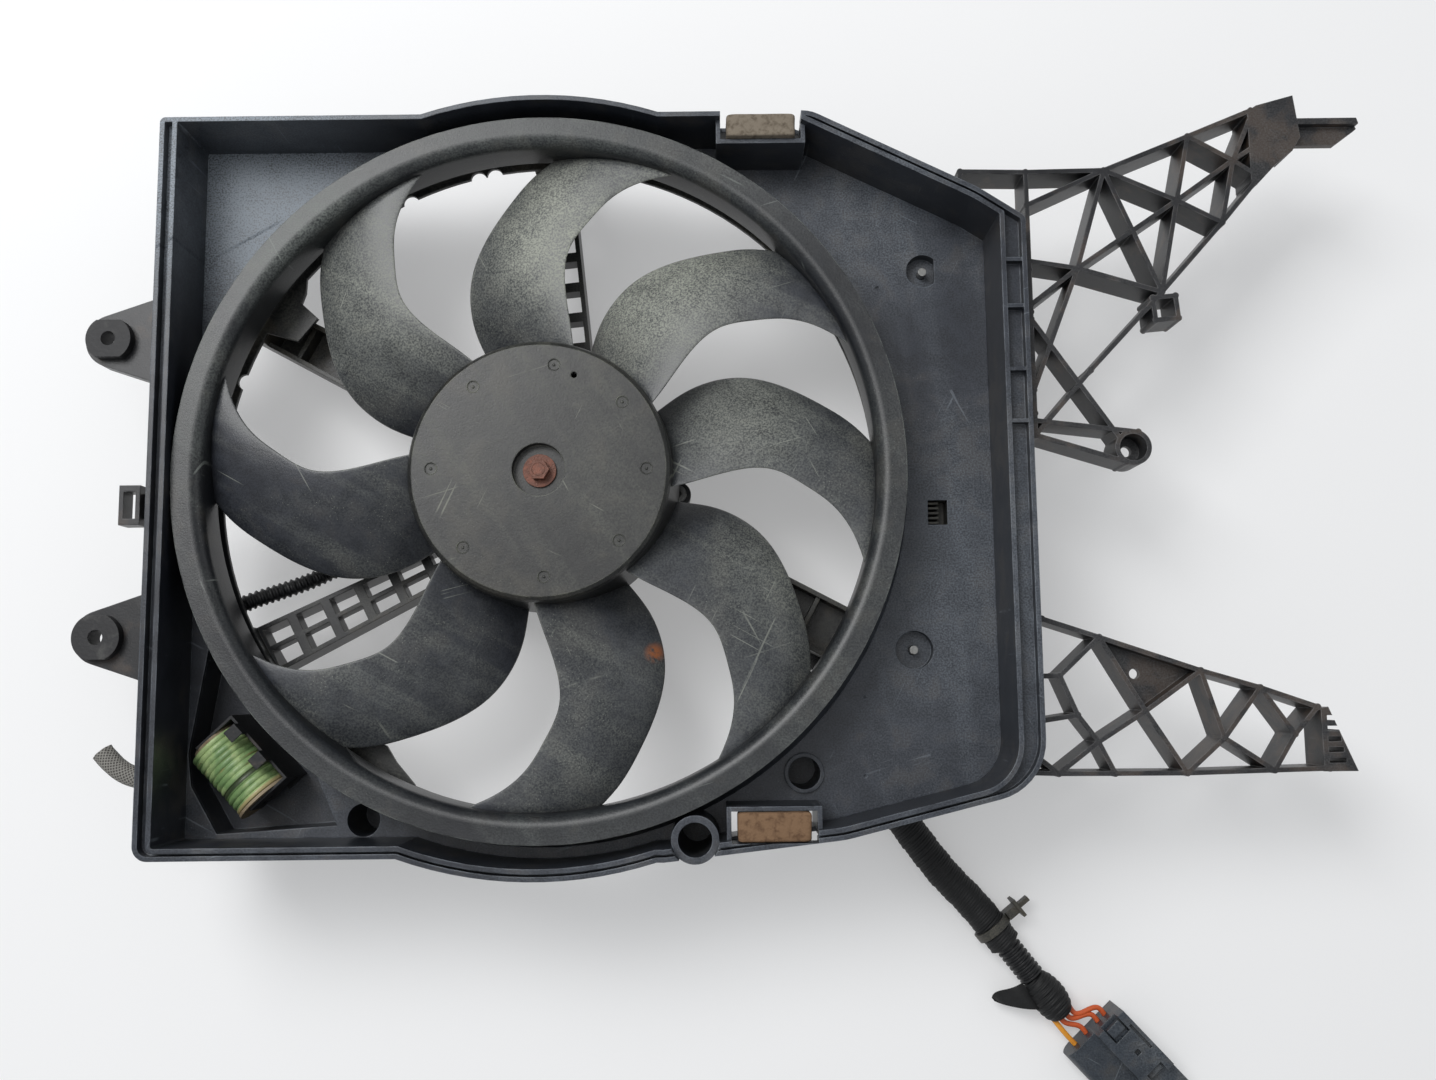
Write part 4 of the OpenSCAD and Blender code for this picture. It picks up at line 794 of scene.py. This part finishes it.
@dataclass
class Palette:
    """All materials of the object, by name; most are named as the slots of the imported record."""

    made: dict[str, bpy.types.Material] = field(default_factory=dict)

    def build(self) -> "Palette":
        """Makes each finish once, under its name.

        Returns:
            The palette itself.
        """
        finishes = (
            Moulding("shroud_plastic", tone(47, 51, 60), tone(136, 144, 152), 0.4, 0.33, 0.5,
                     side_shade_share=0.6, edge_highlight_share=0.45, grime_share=0.2,
                     # The first blot is partly dust and partly a painted sheen of a glossy reflection in the
                     # top-left corner.
                     dust_and_sheen_blots=(Blot(-165, 165, 105, 2.4), Blot(-190, 90, 60, 0.35), Blot(185, 150, 70, 0.3),
                            Blot(230, -60, 120, 0.3), Blot(-60, 205, 60, 0.3)),
                     creases=((-182.8, 138.1, 29.8, 36.0),)),
            Moulding("arm_plastic", tone(30, 31, 35), tone(104, 104, 104), 0.32, 0.36, 0.3,
                     edge_highlight_share=0.8, grime=tone(88, 70, 54), grime_share=0.4, drift=30.0),
            Moulding("duct_plastic", tone(28, 30, 33), tone(104, 104, 94), 0.4, 0.34, side_shade_share=0.5),
            Moulding("fan_plastic", tone(54, 57, 64), tone(150, 153, 142), 0.6, 0.3, 0.7,
                     edge_highlight_share=0.6, side_shade_share=0.5, grime_share=0.1, drift=60.0,
                     dust_and_sheen_blots=(Blot(-85, 100, 80, 0.5), Blot(60, 110, 80, 1.0), Blot(10, 130, 65, 0.9),
                            Blot(110, 30, 60, 0.6), Blot(-15, 15, 62, 0.3), Blot(130, -45, 55, 0.35),
                            Blot(-140, 60, 50, 0.2)),
                     rusty=(Blot(60.2, -97.6, 7.0),)),
            Moulding("hub_plastic", tone(25, 26, 28), tone(122, 124, 112), 0.3, 0.32, 1.0,
                     edge_highlight_share=0.7, grime_share=0.12, drift=35.0),
            Moulding("band_plastic", tone(24, 27, 33), tone(134, 140, 134), 0.36, 0.3, 0.7,
                     edge_highlight_share=0.6, side_shade_share=0.5, grime_share=0.12, drift=40.0,
                     dust_and_sheen_blots=(Blot(-135, 135, 75, 0.8), Blot(-185, 40, 70, 0.35), Blot(0, 190, 90, 0.2))),
            Mottled("rusty_steel", tone(96, 62, 50), tone(140, 88, 70), 0.6, 0.45, 0.35, 260, 900, 0.0005),
            Mottled("steel", tone(150, 150, 148), tone(96, 88, 78), 0.3, 0.34, 0.9),
            Mottled("can_steel", tone(70, 71, 72), tone(104, 88, 70), 0.25, 0.4, 0.7, 40),
            Mottled("cover_aluminium", tone(150, 150, 150), tone(108, 106, 100), 0.35, 0.42, 0.85, 50),
            Mottled("magnet", tone(56, 56, 58), tone(80, 78, 76), 0.3, 0.5),
            Mottled("lamination", tone(120, 120, 124), tone(90, 80, 70), 0.3, 0.4, 0.8),
            Mottled("copper", tone(184, 108, 66), tone(120, 70, 44), 0.3, 0.32, 0.9, 120),
            Mottled("phenolic", tone(92, 60, 40), tone(60, 40, 30), 0.3, 0.5),
            Mottled("carbon", tone(40, 40, 42), tone(70, 70, 72), 0.3, 0.45, 0.2),
            Mottled("rubber", tone(34, 34, 36), tone(84, 84, 82), 0.35, 0.55, 0, 90, 500, 0.0003),
            Mottled("ceramic", tone(150, 136, 112), tone(104, 84, 62), 0.4, 0.6, 0, 90),
            Enamel("resistor_enamel", tone(112, 142, 92), tone(164, 186, 128), tone(140, 108, 70), -47.3),
            Mottled("black_steel", tone(34, 35, 37), tone(74, 66, 58), 0.3, 0.4, 0.3),
            Mottled("conduit", tone(18, 19, 21), tone(48, 48, 48), 0.3, 0.42, 0, 80),
            Mottled("pad_grey", tone(122, 112, 98), tone(84, 74, 62), 0.6, 0.75, 0, 260, 900, 0.0007),
            Mottled("pad_brown", tone(124, 96, 70), tone(84, 60, 42), 0.6, 0.75, 0, 240, 900, 0.0007),
            Moulding("clip_plastic", tone(44, 45, 44), tone(104, 100, 88), 0.5, 0.4),
            Wrap("braid", tone(70, 68, 64), tone(150, 148, 142), 2.0, 0.8, True, 0.55),
            Wrap("tape", tone(5, 6, 7), tone(16, 17, 19), 1.6, 0.12, False, 0.55),
            Mottled("wire", tone(206, 92, 46), tone(150, 66, 40), 0.35, 0.35, 0, 140, 700, 0.0001),
            Mottled("wire_yellow", tone(232, 156, 48), tone(190, 110, 40), 0.35, 0.35, 0, 140, 700, 0.0001),
            Moulding("plug_plastic", tone(52, 60, 70), tone(128, 134, 138), 0.45, 0.32),
            Moulding("lock_plastic", tone(150, 146, 134), tone(190, 186, 170), 0.3, 0.4),
            Mottled("seal", tone(176, 96, 60), tone(120, 64, 40), 0.3, 0.5),
        )
        self.made = {finish.name: finish.build() for finish in finishes}
        return self

    def dress_nodes(self) -> None:
        """Gives every CAD node its slot's finish, or its own where the photograph shows another."""
        slots = {row["node"]: row["material_slot"] for row in frame["record"]["subparts"]}
        own = {"motor_shaft": "rusty_steel", "fan_hub": "hub_plastic", "resistor_terminals": "black_steel"}
        own.update(dict.fromkeys(("upper_arm", "lower_arm", "mount_ears", "side_loop"), "arm_plastic"))
        for name, node in frame["nodes"].items():
            for slot in node.material_slots:
                slot.material = self.made[own.get(name, slots[name])]


@dataclass(frozen=True)
class Lamp:
    """A square lamp that faces the object: its place and side in millimetres, its power in watts."""

    name: str
    place: tuple[float, float, float]
    size: float
    power: float
    aim_height: float = 50.0

    def build(self) -> None:
        """Adds the lamp to the scene."""
        data = bpy.data.lights.new(self.name, "AREA")
        data.size = self.size * MM
        data.energy = self.power
        lamp = bpy.data.objects.new(self.name, data)
        where = Vector(self.place) * MM
        lamp.location = where
        lamp.rotation_mode = "QUATERNION"
        lamp.rotation_quaternion = (Vector((0, 0, self.aim_height * MM)) - where).to_track_quat("-Z", "Y")
        bpy.context.scene.collection.objects.link(lamp)


@dataclass
class Studio:
    """Camera, floor and lights; the camera looks down from its eye, turned about X, Y and Z by degrees."""

    lens: float = 32.65
    eye: tuple[float, float, float] = (94.886, -118.514, 789.945)
    tilt: float = 6.5735
    lean: float = 0.0067
    roll: float = -0.6514
    floor_drop: float = 0.4
    floor_reach: float = 30000.0
    floor_glow: float = 0.3
    sky_strength: float = 0.42
    lamps: tuple[Lamp, ...] = (
        Lamp("key", (-640, 700, 1500), 850, 20.0), Lamp("above", (-150, 150, 1900), 900, 3.0),
        Lamp("rim", (1500, 500, 900), 700, 1.2))

    def place_camera(self) -> None:
        """Puts the camera where the photograph was taken from."""
        data = bpy.data.cameras.new("photo_camera")
        data.lens = self.lens
        data.sensor_width = 36.0
        data.clip_start, data.clip_end = 0.01, 50.0
        camera = bpy.data.objects.new("photo_camera", data)
        turn = Euler([math.radians(part) for part in (self.tilt, self.lean, self.roll)]).to_matrix().to_4x4()
        turn.translation = Vector(self.eye) * MM
        camera.matrix_world = turn
        bpy.context.scene.collection.objects.link(camera)
        bpy.context.scene.camera = camera

    def lay_floor(self) -> None:
        """Lays a pale floor that stays near white to the camera and keeps the object's shadow."""
        shader = Shader("pale_floor")
        shader.coat({"Base Color": (0.9, 0.905, 0.91), "Roughness": 0.9})
        rays = shader.node("ShaderNodeLightPath")
        seen = Signal(shader, rays.outputs["Is Camera Ray"])
        for kind in ("Is Glossy Ray", "Is Transmission Ray"):
            seen = seen.top(Signal(shader, rays.outputs[kind]))
        white = shader.node("ShaderNodeEmission", None, {"Color": (1, 1, 1), "Strength": 1.0})
        mix = shader.node("ShaderNodeMixShader", None, {
            0: seen * self.floor_glow, 1: shader.surface.outputs[0], 2: white.outputs[0]})
        shader.tree.links.new(mix.outputs[0], shader.output.inputs["Surface"])
        side = np.linspace(-self.floor_reach / 2, self.floor_reach / 2, 2) * MM
        x, y = np.meshgrid(side, side, indexing="ij")
        points = np.stack([x, y, np.full_like(x, -self.floor_drop * MM)], -1).reshape(-1, 3)
        mesh = bpy.data.meshes.new("studio_floor")
        mesh.from_pydata(points.tolist(), [], [[0, 2, 3, 1]])
        mesh.materials.append(shader.material)
        floor = bpy.data.objects.new("studio_floor", mesh)
        bpy.context.scene.collection.objects.link(floor)

    def light(self) -> None:
        """Lights the scene softly from all round, with broad lamps from three sides."""
        world = bpy.data.worlds.new("studio_light")
        world.use_nodes = True
        bpy.context.scene.world = world
        tree = world.node_tree
        tree.nodes.clear()
        output = tree.nodes.new("ShaderNodeOutputWorld")
        soft = tree.nodes.new("ShaderNodeBackground")
        soft.inputs["Color"].default_value = (0.95, 0.97, 1.0, 1.0)
        soft.inputs["Strength"].default_value = self.sky_strength
        white = tree.nodes.new("ShaderNodeBackground")
        white.inputs["Strength"].default_value = 1.0
        rays = tree.nodes.new("ShaderNodeLightPath")
        mix = tree.nodes.new("ShaderNodeMixShader")
        tree.links.new(rays.outputs["Is Camera Ray"], mix.inputs[0])
        tree.links.new(soft.outputs[0], mix.inputs[1])
        tree.links.new(white.outputs[0], mix.inputs[2])
        tree.links.new(mix.outputs[0], output.inputs["Surface"])
        for lamp in self.lamps:
            lamp.build()

    def build(self) -> None:
        """Builds the camera, the floor and the lights."""
        self.place_camera()
        self.lay_floor()
        self.light()
        bpy.context.scene.view_settings.view_transform = "Standard"
        log.info("studio: camera, floor and %d lamps", len(self.lamps))


@dataclass
class Harness:
    """The taped harness: held stretch, free stretch and what sits on it."""

    palette: Palette
    conduit_radius: float = 9.5
    ridge_radius: float = 7.5
    tape_radius: float = 10.5
    wire_radius: float = 1.5
    free_points: tuple[tuple[float, float, float], ...] = (
        (111.3, -59.2, 14), (125.4, -66.7, 14), (141, -79, 13.5), (156, -98, 12.5), (168, -122, 11.5),
        (179, -150, 11), (190, -174, 11), (200, -192, 11), (212, -209, 11), (226, -227, 11),
        (241, -243, 11), (251.4, -255.4, 11), (260, -266.3, 11))
    held_points: tuple[tuple[float, float, float], ...] = (
        (48.83, -25.96, 14), (66, -35.1, 14), (84, -44.7, 14), (111.3, -59.2, 14))
    lead_points: tuple[tuple[float, float, float], ...] = (
        (-52.35, -8.29, 19), (-61.24, -9.7, 19), (-78, -17, 17), (-105, -30, 16), (-140, -50, 24),
        (-168, -62, 36), (-183, -72, 44), (-187, -84, 46))
    tail_points: tuple[tuple[float, float, float], ...] = (
        (-199.3, -162, 48), (-214, -163.8, 48), (-229, -164, 49), (-241, -159, 50), (-251, -149, 50))
    tail_angle: float = -51.73
    ridge_length: float = 24.0
    tape_length: float = 29.0
    plug_at: tuple[float, float] = (307.5, -315.7)
    plug_angle: float = -47.0
    wire_ys: tuple[float, ...] = (12, 6.5, -3, -12)
    wire_starts: tuple[float, ...] = (6, 2, -2, -6)
    wire_height: float = 9.0
    lap_length: float = 13.0
    ridge_pitch: float = 3.4
    ridge_depth: float = 0.6
    ridge_count: float = 7.5
    lead_radius: float = 5.0
    lead_ridges: int = 48
    tail_radius: float = 5.6

    def axis_point(self, reach: float, across: float = 0.0, height: float = 0.0) -> np.ndarray:
        """Point in the frame of the harness's straight end.

        Args:
            reach: Distance along it from the free conduit's end.
            across: Distance to its left.
            height: Height over its middle.

        Returns:
            The point.
        """
        return swing(np.array([reach, across, height]), self.tail_angle, self.free_points[-1])

    def taped(self, path: np.ndarray, seed: int) -> Patch:
        """Taped conduit: the radius steps down at each lap of the tape and swells over the ridges below.

        Args:
            path: Its middle line.
            seed: Seed of its unevenness.

        Returns:
            The patch.
        """
        sides = 40
        reach = reach_along(path)[:, None]
        turn = np.linspace(0, 1, sides, endpoint=False)[None]
        lap = (reach / self.lap_length + turn) % 1.0
        ridges = np.sin(reach * 2 * np.pi / self.ridge_pitch)
        around = turn * 6.28
        places = np.broadcast_arrays(reach * 0.12, np.cos(around) * 2, np.sin(around) * 2)
        uneven = ripple(np.stack(places, -1), 1.0, seed)
        radius = self.conduit_radius - 0.35 + 0.45 * lap + 0.16 * ridges + 0.22 * uneven
        return tube(path, radius, sides)

    def build_conduits(self) -> bpy.types.Object:
        """Builds the held and the free taped conduit.

        Returns:
            The free conduit.
        """
        made = self.palette.made
        Piece("conduit_held", [self.taped(route(self.held_points, 90), 3)], Body.FRAME, "tape",
              made["tape"], ("harness_held",)).build()
        return Piece("conduit_free", [self.taped(route(self.free_points, 300), 4)], Body.FRAME, "tape",
                     made["tape"], ("harness_conduit",)).build()

    def build_leads(self) -> None:
        """Builds the ridged lead between motor and resistor, and the braided tail with its cut end."""
        made = self.palette.made
        path = route(self.lead_points, 260)
        reach = np.linspace(0, 1, len(path))
        wave = np.clip(np.sin(reach * 2 * np.pi * self.lead_ridges) * 1.6, -1, 1)
        ridges = self.lead_radius - self.ridge_depth + self.ridge_depth * wave
        Piece("motor_lead", [tube(path, ridges, 28)], Body.FRAME, "conduit", made["conduit"],
              ("resistor_lead",)).build()
        path = route(self.tail_points, 60)
        end = np.linspace(0, 1, len(path))[:, None]
        turn = np.linspace(0, 2 * np.pi, 32, endpoint=False)[None]
        fray = 0.25 * np.sin(turn * 7 + end * 20) * end ** 4
        flat = self.tail_radius + 0.35 * np.cos(2 * turn) * end + fray
        Piece("braided_tail", [tube(path, flat, 32)], Body.FRAME, "braid", made["braid"],
              ("sleeve_tail",)).build()

    def build_end(self) -> list[bpy.types.Object]:
        """Builds the bare ridged stretch, the wrapped end with its loose flap, and the wires.

        Returns:
            The pieces, which all sit on the free conduit.
        """
        made = self.palette.made
        start, end = self.axis_point(0), self.axis_point(self.ridge_length)
        share = np.linspace(0, 1, 150)[:, None]
        wave = np.clip(np.sin(share[:, 0] * 2 * np.pi * self.ridge_count) * 1.8, -1, 1)
        ridges = self.ridge_radius - self.ridge_depth + self.ridge_depth * wave
        pieces = [Piece("ridged_stretch", [tube(start + (end - start) * share, ridges, 36)], Body.FRAME,
                        "conduit", made["conduit"], ("harness_corrugated",)).build()]
        far = self.axis_point(self.ridge_length + self.tape_length)
        bulge = np.sin(np.pi * np.clip(share[:, 0] * 1.02, 0, 1)) ** 0.25
        laps = np.abs(np.sin(share[:, 0] * np.pi * 8))
        radius = (self.tape_radius - 1.6) * bulge + 0.9 + 0.6 * laps * bulge
        turn = np.linspace(0, 2 * np.pi, 40, endpoint=False)[None]
        radius = radius[:, None] + 0.12 * np.sin(turn * 3 + share * 9)
        pieces.append(Piece("tape_wrap", [tube(end + (far - end) * share, radius, 40)], Body.FRAME,
                            "tape", made["tape"], ("tape_end",)).build())
        pieces.append(self.build_flap())
        return pieces + self.build_wires()

    def build_flap(self) -> bpy.types.Object:
        """Builds the tape's loose flap: a thin strip whose height follows a wave along it.

        Returns:
            The flap.
        """
        along = np.linspace(0, 1, 24)[:, None]
        around = np.linspace(0, 2 * np.pi, 24, endpoint=False)[None]
        reach = self.ridge_length + 8 - 11 * along
        across = -self.tape_radius + 3.5 - 19 * along
        wide = (9.5 - 5.5 * along) * (1 - along ** 8 * 0.8)
        height = 3.0 + 2.5 * np.sin(along * 5) - 4 * along
        grid = np.stack(np.broadcast_arrays(
            reach + wide * np.cos(around), across,
            height + 0.5 * np.sin(around) + 1.5 * np.cos(around) * along), -1)
        placed = swing(grid, self.tail_angle, self.free_points[-1])
        return Piece("tape_flap", [Patch(placed, caps=True)], Body.FRAME, "tape",
                     self.palette.made["tape"]).build()

    def build_wires(self) -> list[bpy.types.Object]:
        """Builds the four wires between the wrapped end and the plug.

        Returns:
            The wires.
        """
        made = self.palette.made
        pieces = []
        reach = self.ridge_length + self.tape_length
        plug = np.array([*self.plug_at, 0.0])
        for index, (start, across) in enumerate(zip(self.wire_starts, self.wire_ys)):
            before, inside = (swing(np.array([away, across, self.wire_height]), self.plug_angle, plug)
                              for away in (-5, 0.5))
            path = route([self.axis_point(reach - 3, start, -1), self.axis_point(reach + 3, start, -1),
                          before, inside], 40)
            material = made["wire_yellow"] if index == 3 else made["wire"]
            pieces.append(Piece(f"wire_{index}", [tube(path, np.full(len(path), self.wire_radius), 16)],
                                Body.FRAME, "wire", material, ("harness_wires",)).build())
        return pieces

    def build(self) -> None:
        """Builds the harness and its leads, and logs the length of its free stretch."""
        conduit = self.build_conduits()
        on_it: list[Any] = self.build_end()
        on_it += ["harness_clip", "connector_housing", "connector_terminals", "connector_seal",
                  "connector_latch", "connector_lock"]
        path = route(self.free_points, 33)
        length = float(reach_along(route(self.free_points, 300))[-1])
        2 * self.conduit_radius * MM
        log.info("free harness: %.1f mm long", length)
        self.build_leads()


@dataclass
class Fan:
    """Blades, band and hub marks."""

    palette: Palette
    tips: tuple[float, ...] = (22, 66, 111, 161.5, 211.5, 257.5, 300.5, 343)
    front: tuple[tuple[float, float], ...] = (
        (0, 9.5), (0.2, 15), (0.36, 17.4), (0.5, 17), (0.65, 13.5), (0.8, 9.5), (0.92, 4.5), (1, 0))
    rear: tuple[tuple[float, float], ...] = (
        (0, 50), (0.18, 50), (0.33, 48), (0.5, 43.5), (0.65, 37.5), (0.8, 31), (0.92, 26), (1, 22))
    hub_r: float = 70.5
    hub_foot_r: float = 74.0
    hub_foot_z: float = 50.0
    hub_z: float = 101.5
    band_r: float = 182.0
    band_t: float = 2.6
    band_depth: float = 26.0
    lip_r: float = 198.0
    lip_z: float = 100.0
    lip_t: float = 2.4
    lip_turn: float = 7.0
    thickness: float = 2.6
    sink: float = 1.2
    mark_angles: tuple[float, ...] = (82, 39, 0, -42, -87, -134, 179, 128)
    mark_reach: float = 57.8

    def blade(self, tip: float) -> Patch:
        """One blade: its angle and height run from front edge to rear edge by the sweep curves, its
        section is a lens whose two sides meet in round edges, and its ends are pinched shut.

        Args:
            tip: Angle of its front corner at the band.

        Returns:
            The patch.
        """
        span = np.linspace(0, 1, 44)
        front, rear = np.array(self.front), np.array(self.rear)
        lead = spline(front[:, 0], front[:, 1:], span)
        trail = spline(rear[:, 0], rear[:, 1:], span)
        turn = np.linspace(0, 2 * np.pi, 56, endpoint=False)[None]
        v = (1 - np.cos(turn)) / 2
        u = span[:, None]
        angle = np.radians(tip + (1 - v) * lead + v * trail)
        rear_z = 58 + 19 * u
        z = (1 - v) * (self.lip_z - 8 - u) + v * rear_z + 16 * v * (1 - v)
        root = self.hub_foot_r - (z - self.hub_foot_z) / (self.hub_z - 4 - self.hub_foot_z) * (
            self.hub_foot_r - self.hub_r - 0.6) - self.sink
        radius = root + u * (self.band_r + self.sink - root)
        pinch = np.minimum(1, np.minimum(u, 1 - u) * 200)
        side = np.sign(np.sin(turn)) * np.abs(np.sin(turn)) ** 0.55
        half = self.thickness / 2 * (0.5 + 0.5 * np.sin(np.pi * v)) * side * pinch
        return Patch(np.stack([radius * np.cos(angle), radius * np.sin(angle), z + half], -1))

    def build_blades(self) -> None:
        """Builds the eight blades as one piece."""
        Piece("blade_set", [self.blade(tip) for tip in self.tips], Body.ROTOR, "fan_plastic",
              self.palette.made["fan_plastic"], ("fan_blades",), 60).build()

    def build_band(self) -> None:
        """Builds the band with its rolled front lip and turned edge."""
        outer = self.band_r + self.band_t
        a = np.radians(np.linspace(0, 90, 9))
        back = np.stack([outer + 7 * (1 - np.cos(a)), self.lip_z - self.lip_t + 7 * (np.sin(a) - 1)], -1)
        b = a[::-1]
        face = np.stack([self.band_r + 7.3 * (1 - np.cos(b)), self.lip_z + 7.3 * (np.sin(b) - 1)], -1)
        edge = soften([[self.lip_r - self.lip_t, self.lip_z - self.lip_t],
                       [self.lip_r - self.lip_t, self.lip_z - self.lip_turn],
                       [self.lip_r, self.lip_z - self.lip_turn], [self.lip_r, self.lip_z]], 0.9, 5)[:-1]
        low = soften([[self.band_r, self.lip_z - self.band_depth], [outer, self.lip_z - self.band_depth],
                      [outer, self.lip_z - 10], [self.band_r, self.lip_z - 10]], 0.8, 5)[:10]
        profile = np.concatenate([low, back, edge, face])
        Piece("band_ring", [revolve(profile, 256)], Body.ROTOR, "fan_plastic",
              self.palette.made["band_plastic"], ("fan_band",), 50).build()

    def build_marks(self) -> None:
        """Builds the small rims and middle pips of the hub's eight moulding marks."""
        patches = []
        for angle in self.mark_angles:
            turn = math.radians(angle)
            middle = np.array([math.cos(turn), math.sin(turn), 0]) * self.mark_reach
            rim = revolve(soften([[3.0, -0.4], [3.7, -0.4], [3.5, 0.18], [3.1, 0.18]], 0.15, 3), 28)
            pip = revolve(soften([[0.02, -0.55], [0.9, -0.55], [0.75, 0.0], [0.02, 0.1]], 0.2, 3), 16)
            for patch in (rim, pip):
                patch.grid = patch.grid + middle + np.array([0, 0, self.hub_z])
                patches.append(patch)
        Piece("hub_marks", patches, Body.ROTOR, "fan_plastic", self.palette.made["hub_plastic"]).build()

    def build(self) -> None:
        """Builds the fan's pieces."""
        self.build_blades()
        self.build_band()
        self.build_marks()


@dataclass
class Resistor:
    """Wire-wound resistor in its corner well."""

    palette: Palette
    at: tuple[float, float, float] = (-169.7, -158.9, 60.0)
    angle: float = -47.3
    radius: float = 16.5
    core_radius: float = 13.0
    length: float = 40.0
    turns: int = 12

    def build(self) -> None:
        """Builds the enamelled winding: a tube whose radius dips between turns and swells unevenly."""
        share = np.linspace(0, 1, 240)
        path = np.stack([(share - 0.5) * self.length, np.zeros(240), np.zeros(240)], -1)
        turn = np.linspace(0, 2 * np.pi, 64, endpoint=False)[None]
        wave = np.abs(np.sin(share * np.pi * self.turns))[:, None] ** 0.6
        ends = np.clip(np.minimum(share, 1 - share) * 60, 0, 1)[:, None] ** 0.5
        spot = np.stack(np.broadcast_arrays(share[:, None] * 9, np.cos(turn) * 1.6, np.sin(turn) * 1.6), -1)
        radius = self.radius - 1.25 + 0.95 * wave + 0.28 * ripple(spot, 1.3, 11)
        radius = self.core_radius + 0.2 + (radius - self.core_radius - 0.2) * ends
        patch = tube(path, radius, 64)
        patch.grid = swing(patch.grid, self.angle, self.at)
        Piece("resistor_winding", [patch], Body.FRAME, "resistor_enamel",
              self.palette.made["resistor_enamel"], ("resistor_coat",), 70).build()


@dataclass
class Pads:
    """The two worn blocks in the pockets of the rim, each a box by its X and Y limits."""

    palette: Palette
    boxes: dict[str, tuple[float, float, float, float]] = field(default_factory=lambda: {
        "pad_top": (102.5, 141.0, 184.2, 197.3), "pad_bottom": (104.0, 143.0, -197.3, -181.7)})
    high: float = 104.0
    height: float = 20.0

    def build(self) -> None:
        """Builds each pad as a rounded block with a worn, uneven face."""
        for index, (name, (x0, x1, y0, y1)) in enumerate(self.boxes.items()):
            grid = cushion((x1 - x0, y1 - y0, self.height), 0.16, 60)
            grid = grid * (1 - 0.012 * (1 + ripple(grid * 0.35, 1.0, 21 + index)))[..., None]
            grid = grid + np.array([(x0 + x1) / 2, (y0 + y1) / 2, self.high - self.height / 2])
            slot = "pad_grey" if index == 0 else "pad_brown"
            Piece(f"{name}_block", [Patch(grid)], Body.FRAME, slot, self.palette.made[slot],
                  (name,), 60).build()


def main() -> None:
    """Builds the camera and the cords first, then the rest of the object."""
    logging.basicConfig(level=logging.INFO, format="%(message)s")
    Studio().build()
    palette = Palette().build()
    palette.dress_nodes()
    Harness(palette).build()
    Fan(palette).build()
    Resistor(palette).build()
    Pads(palette).build()


if __name__ == "__main__":
    main()
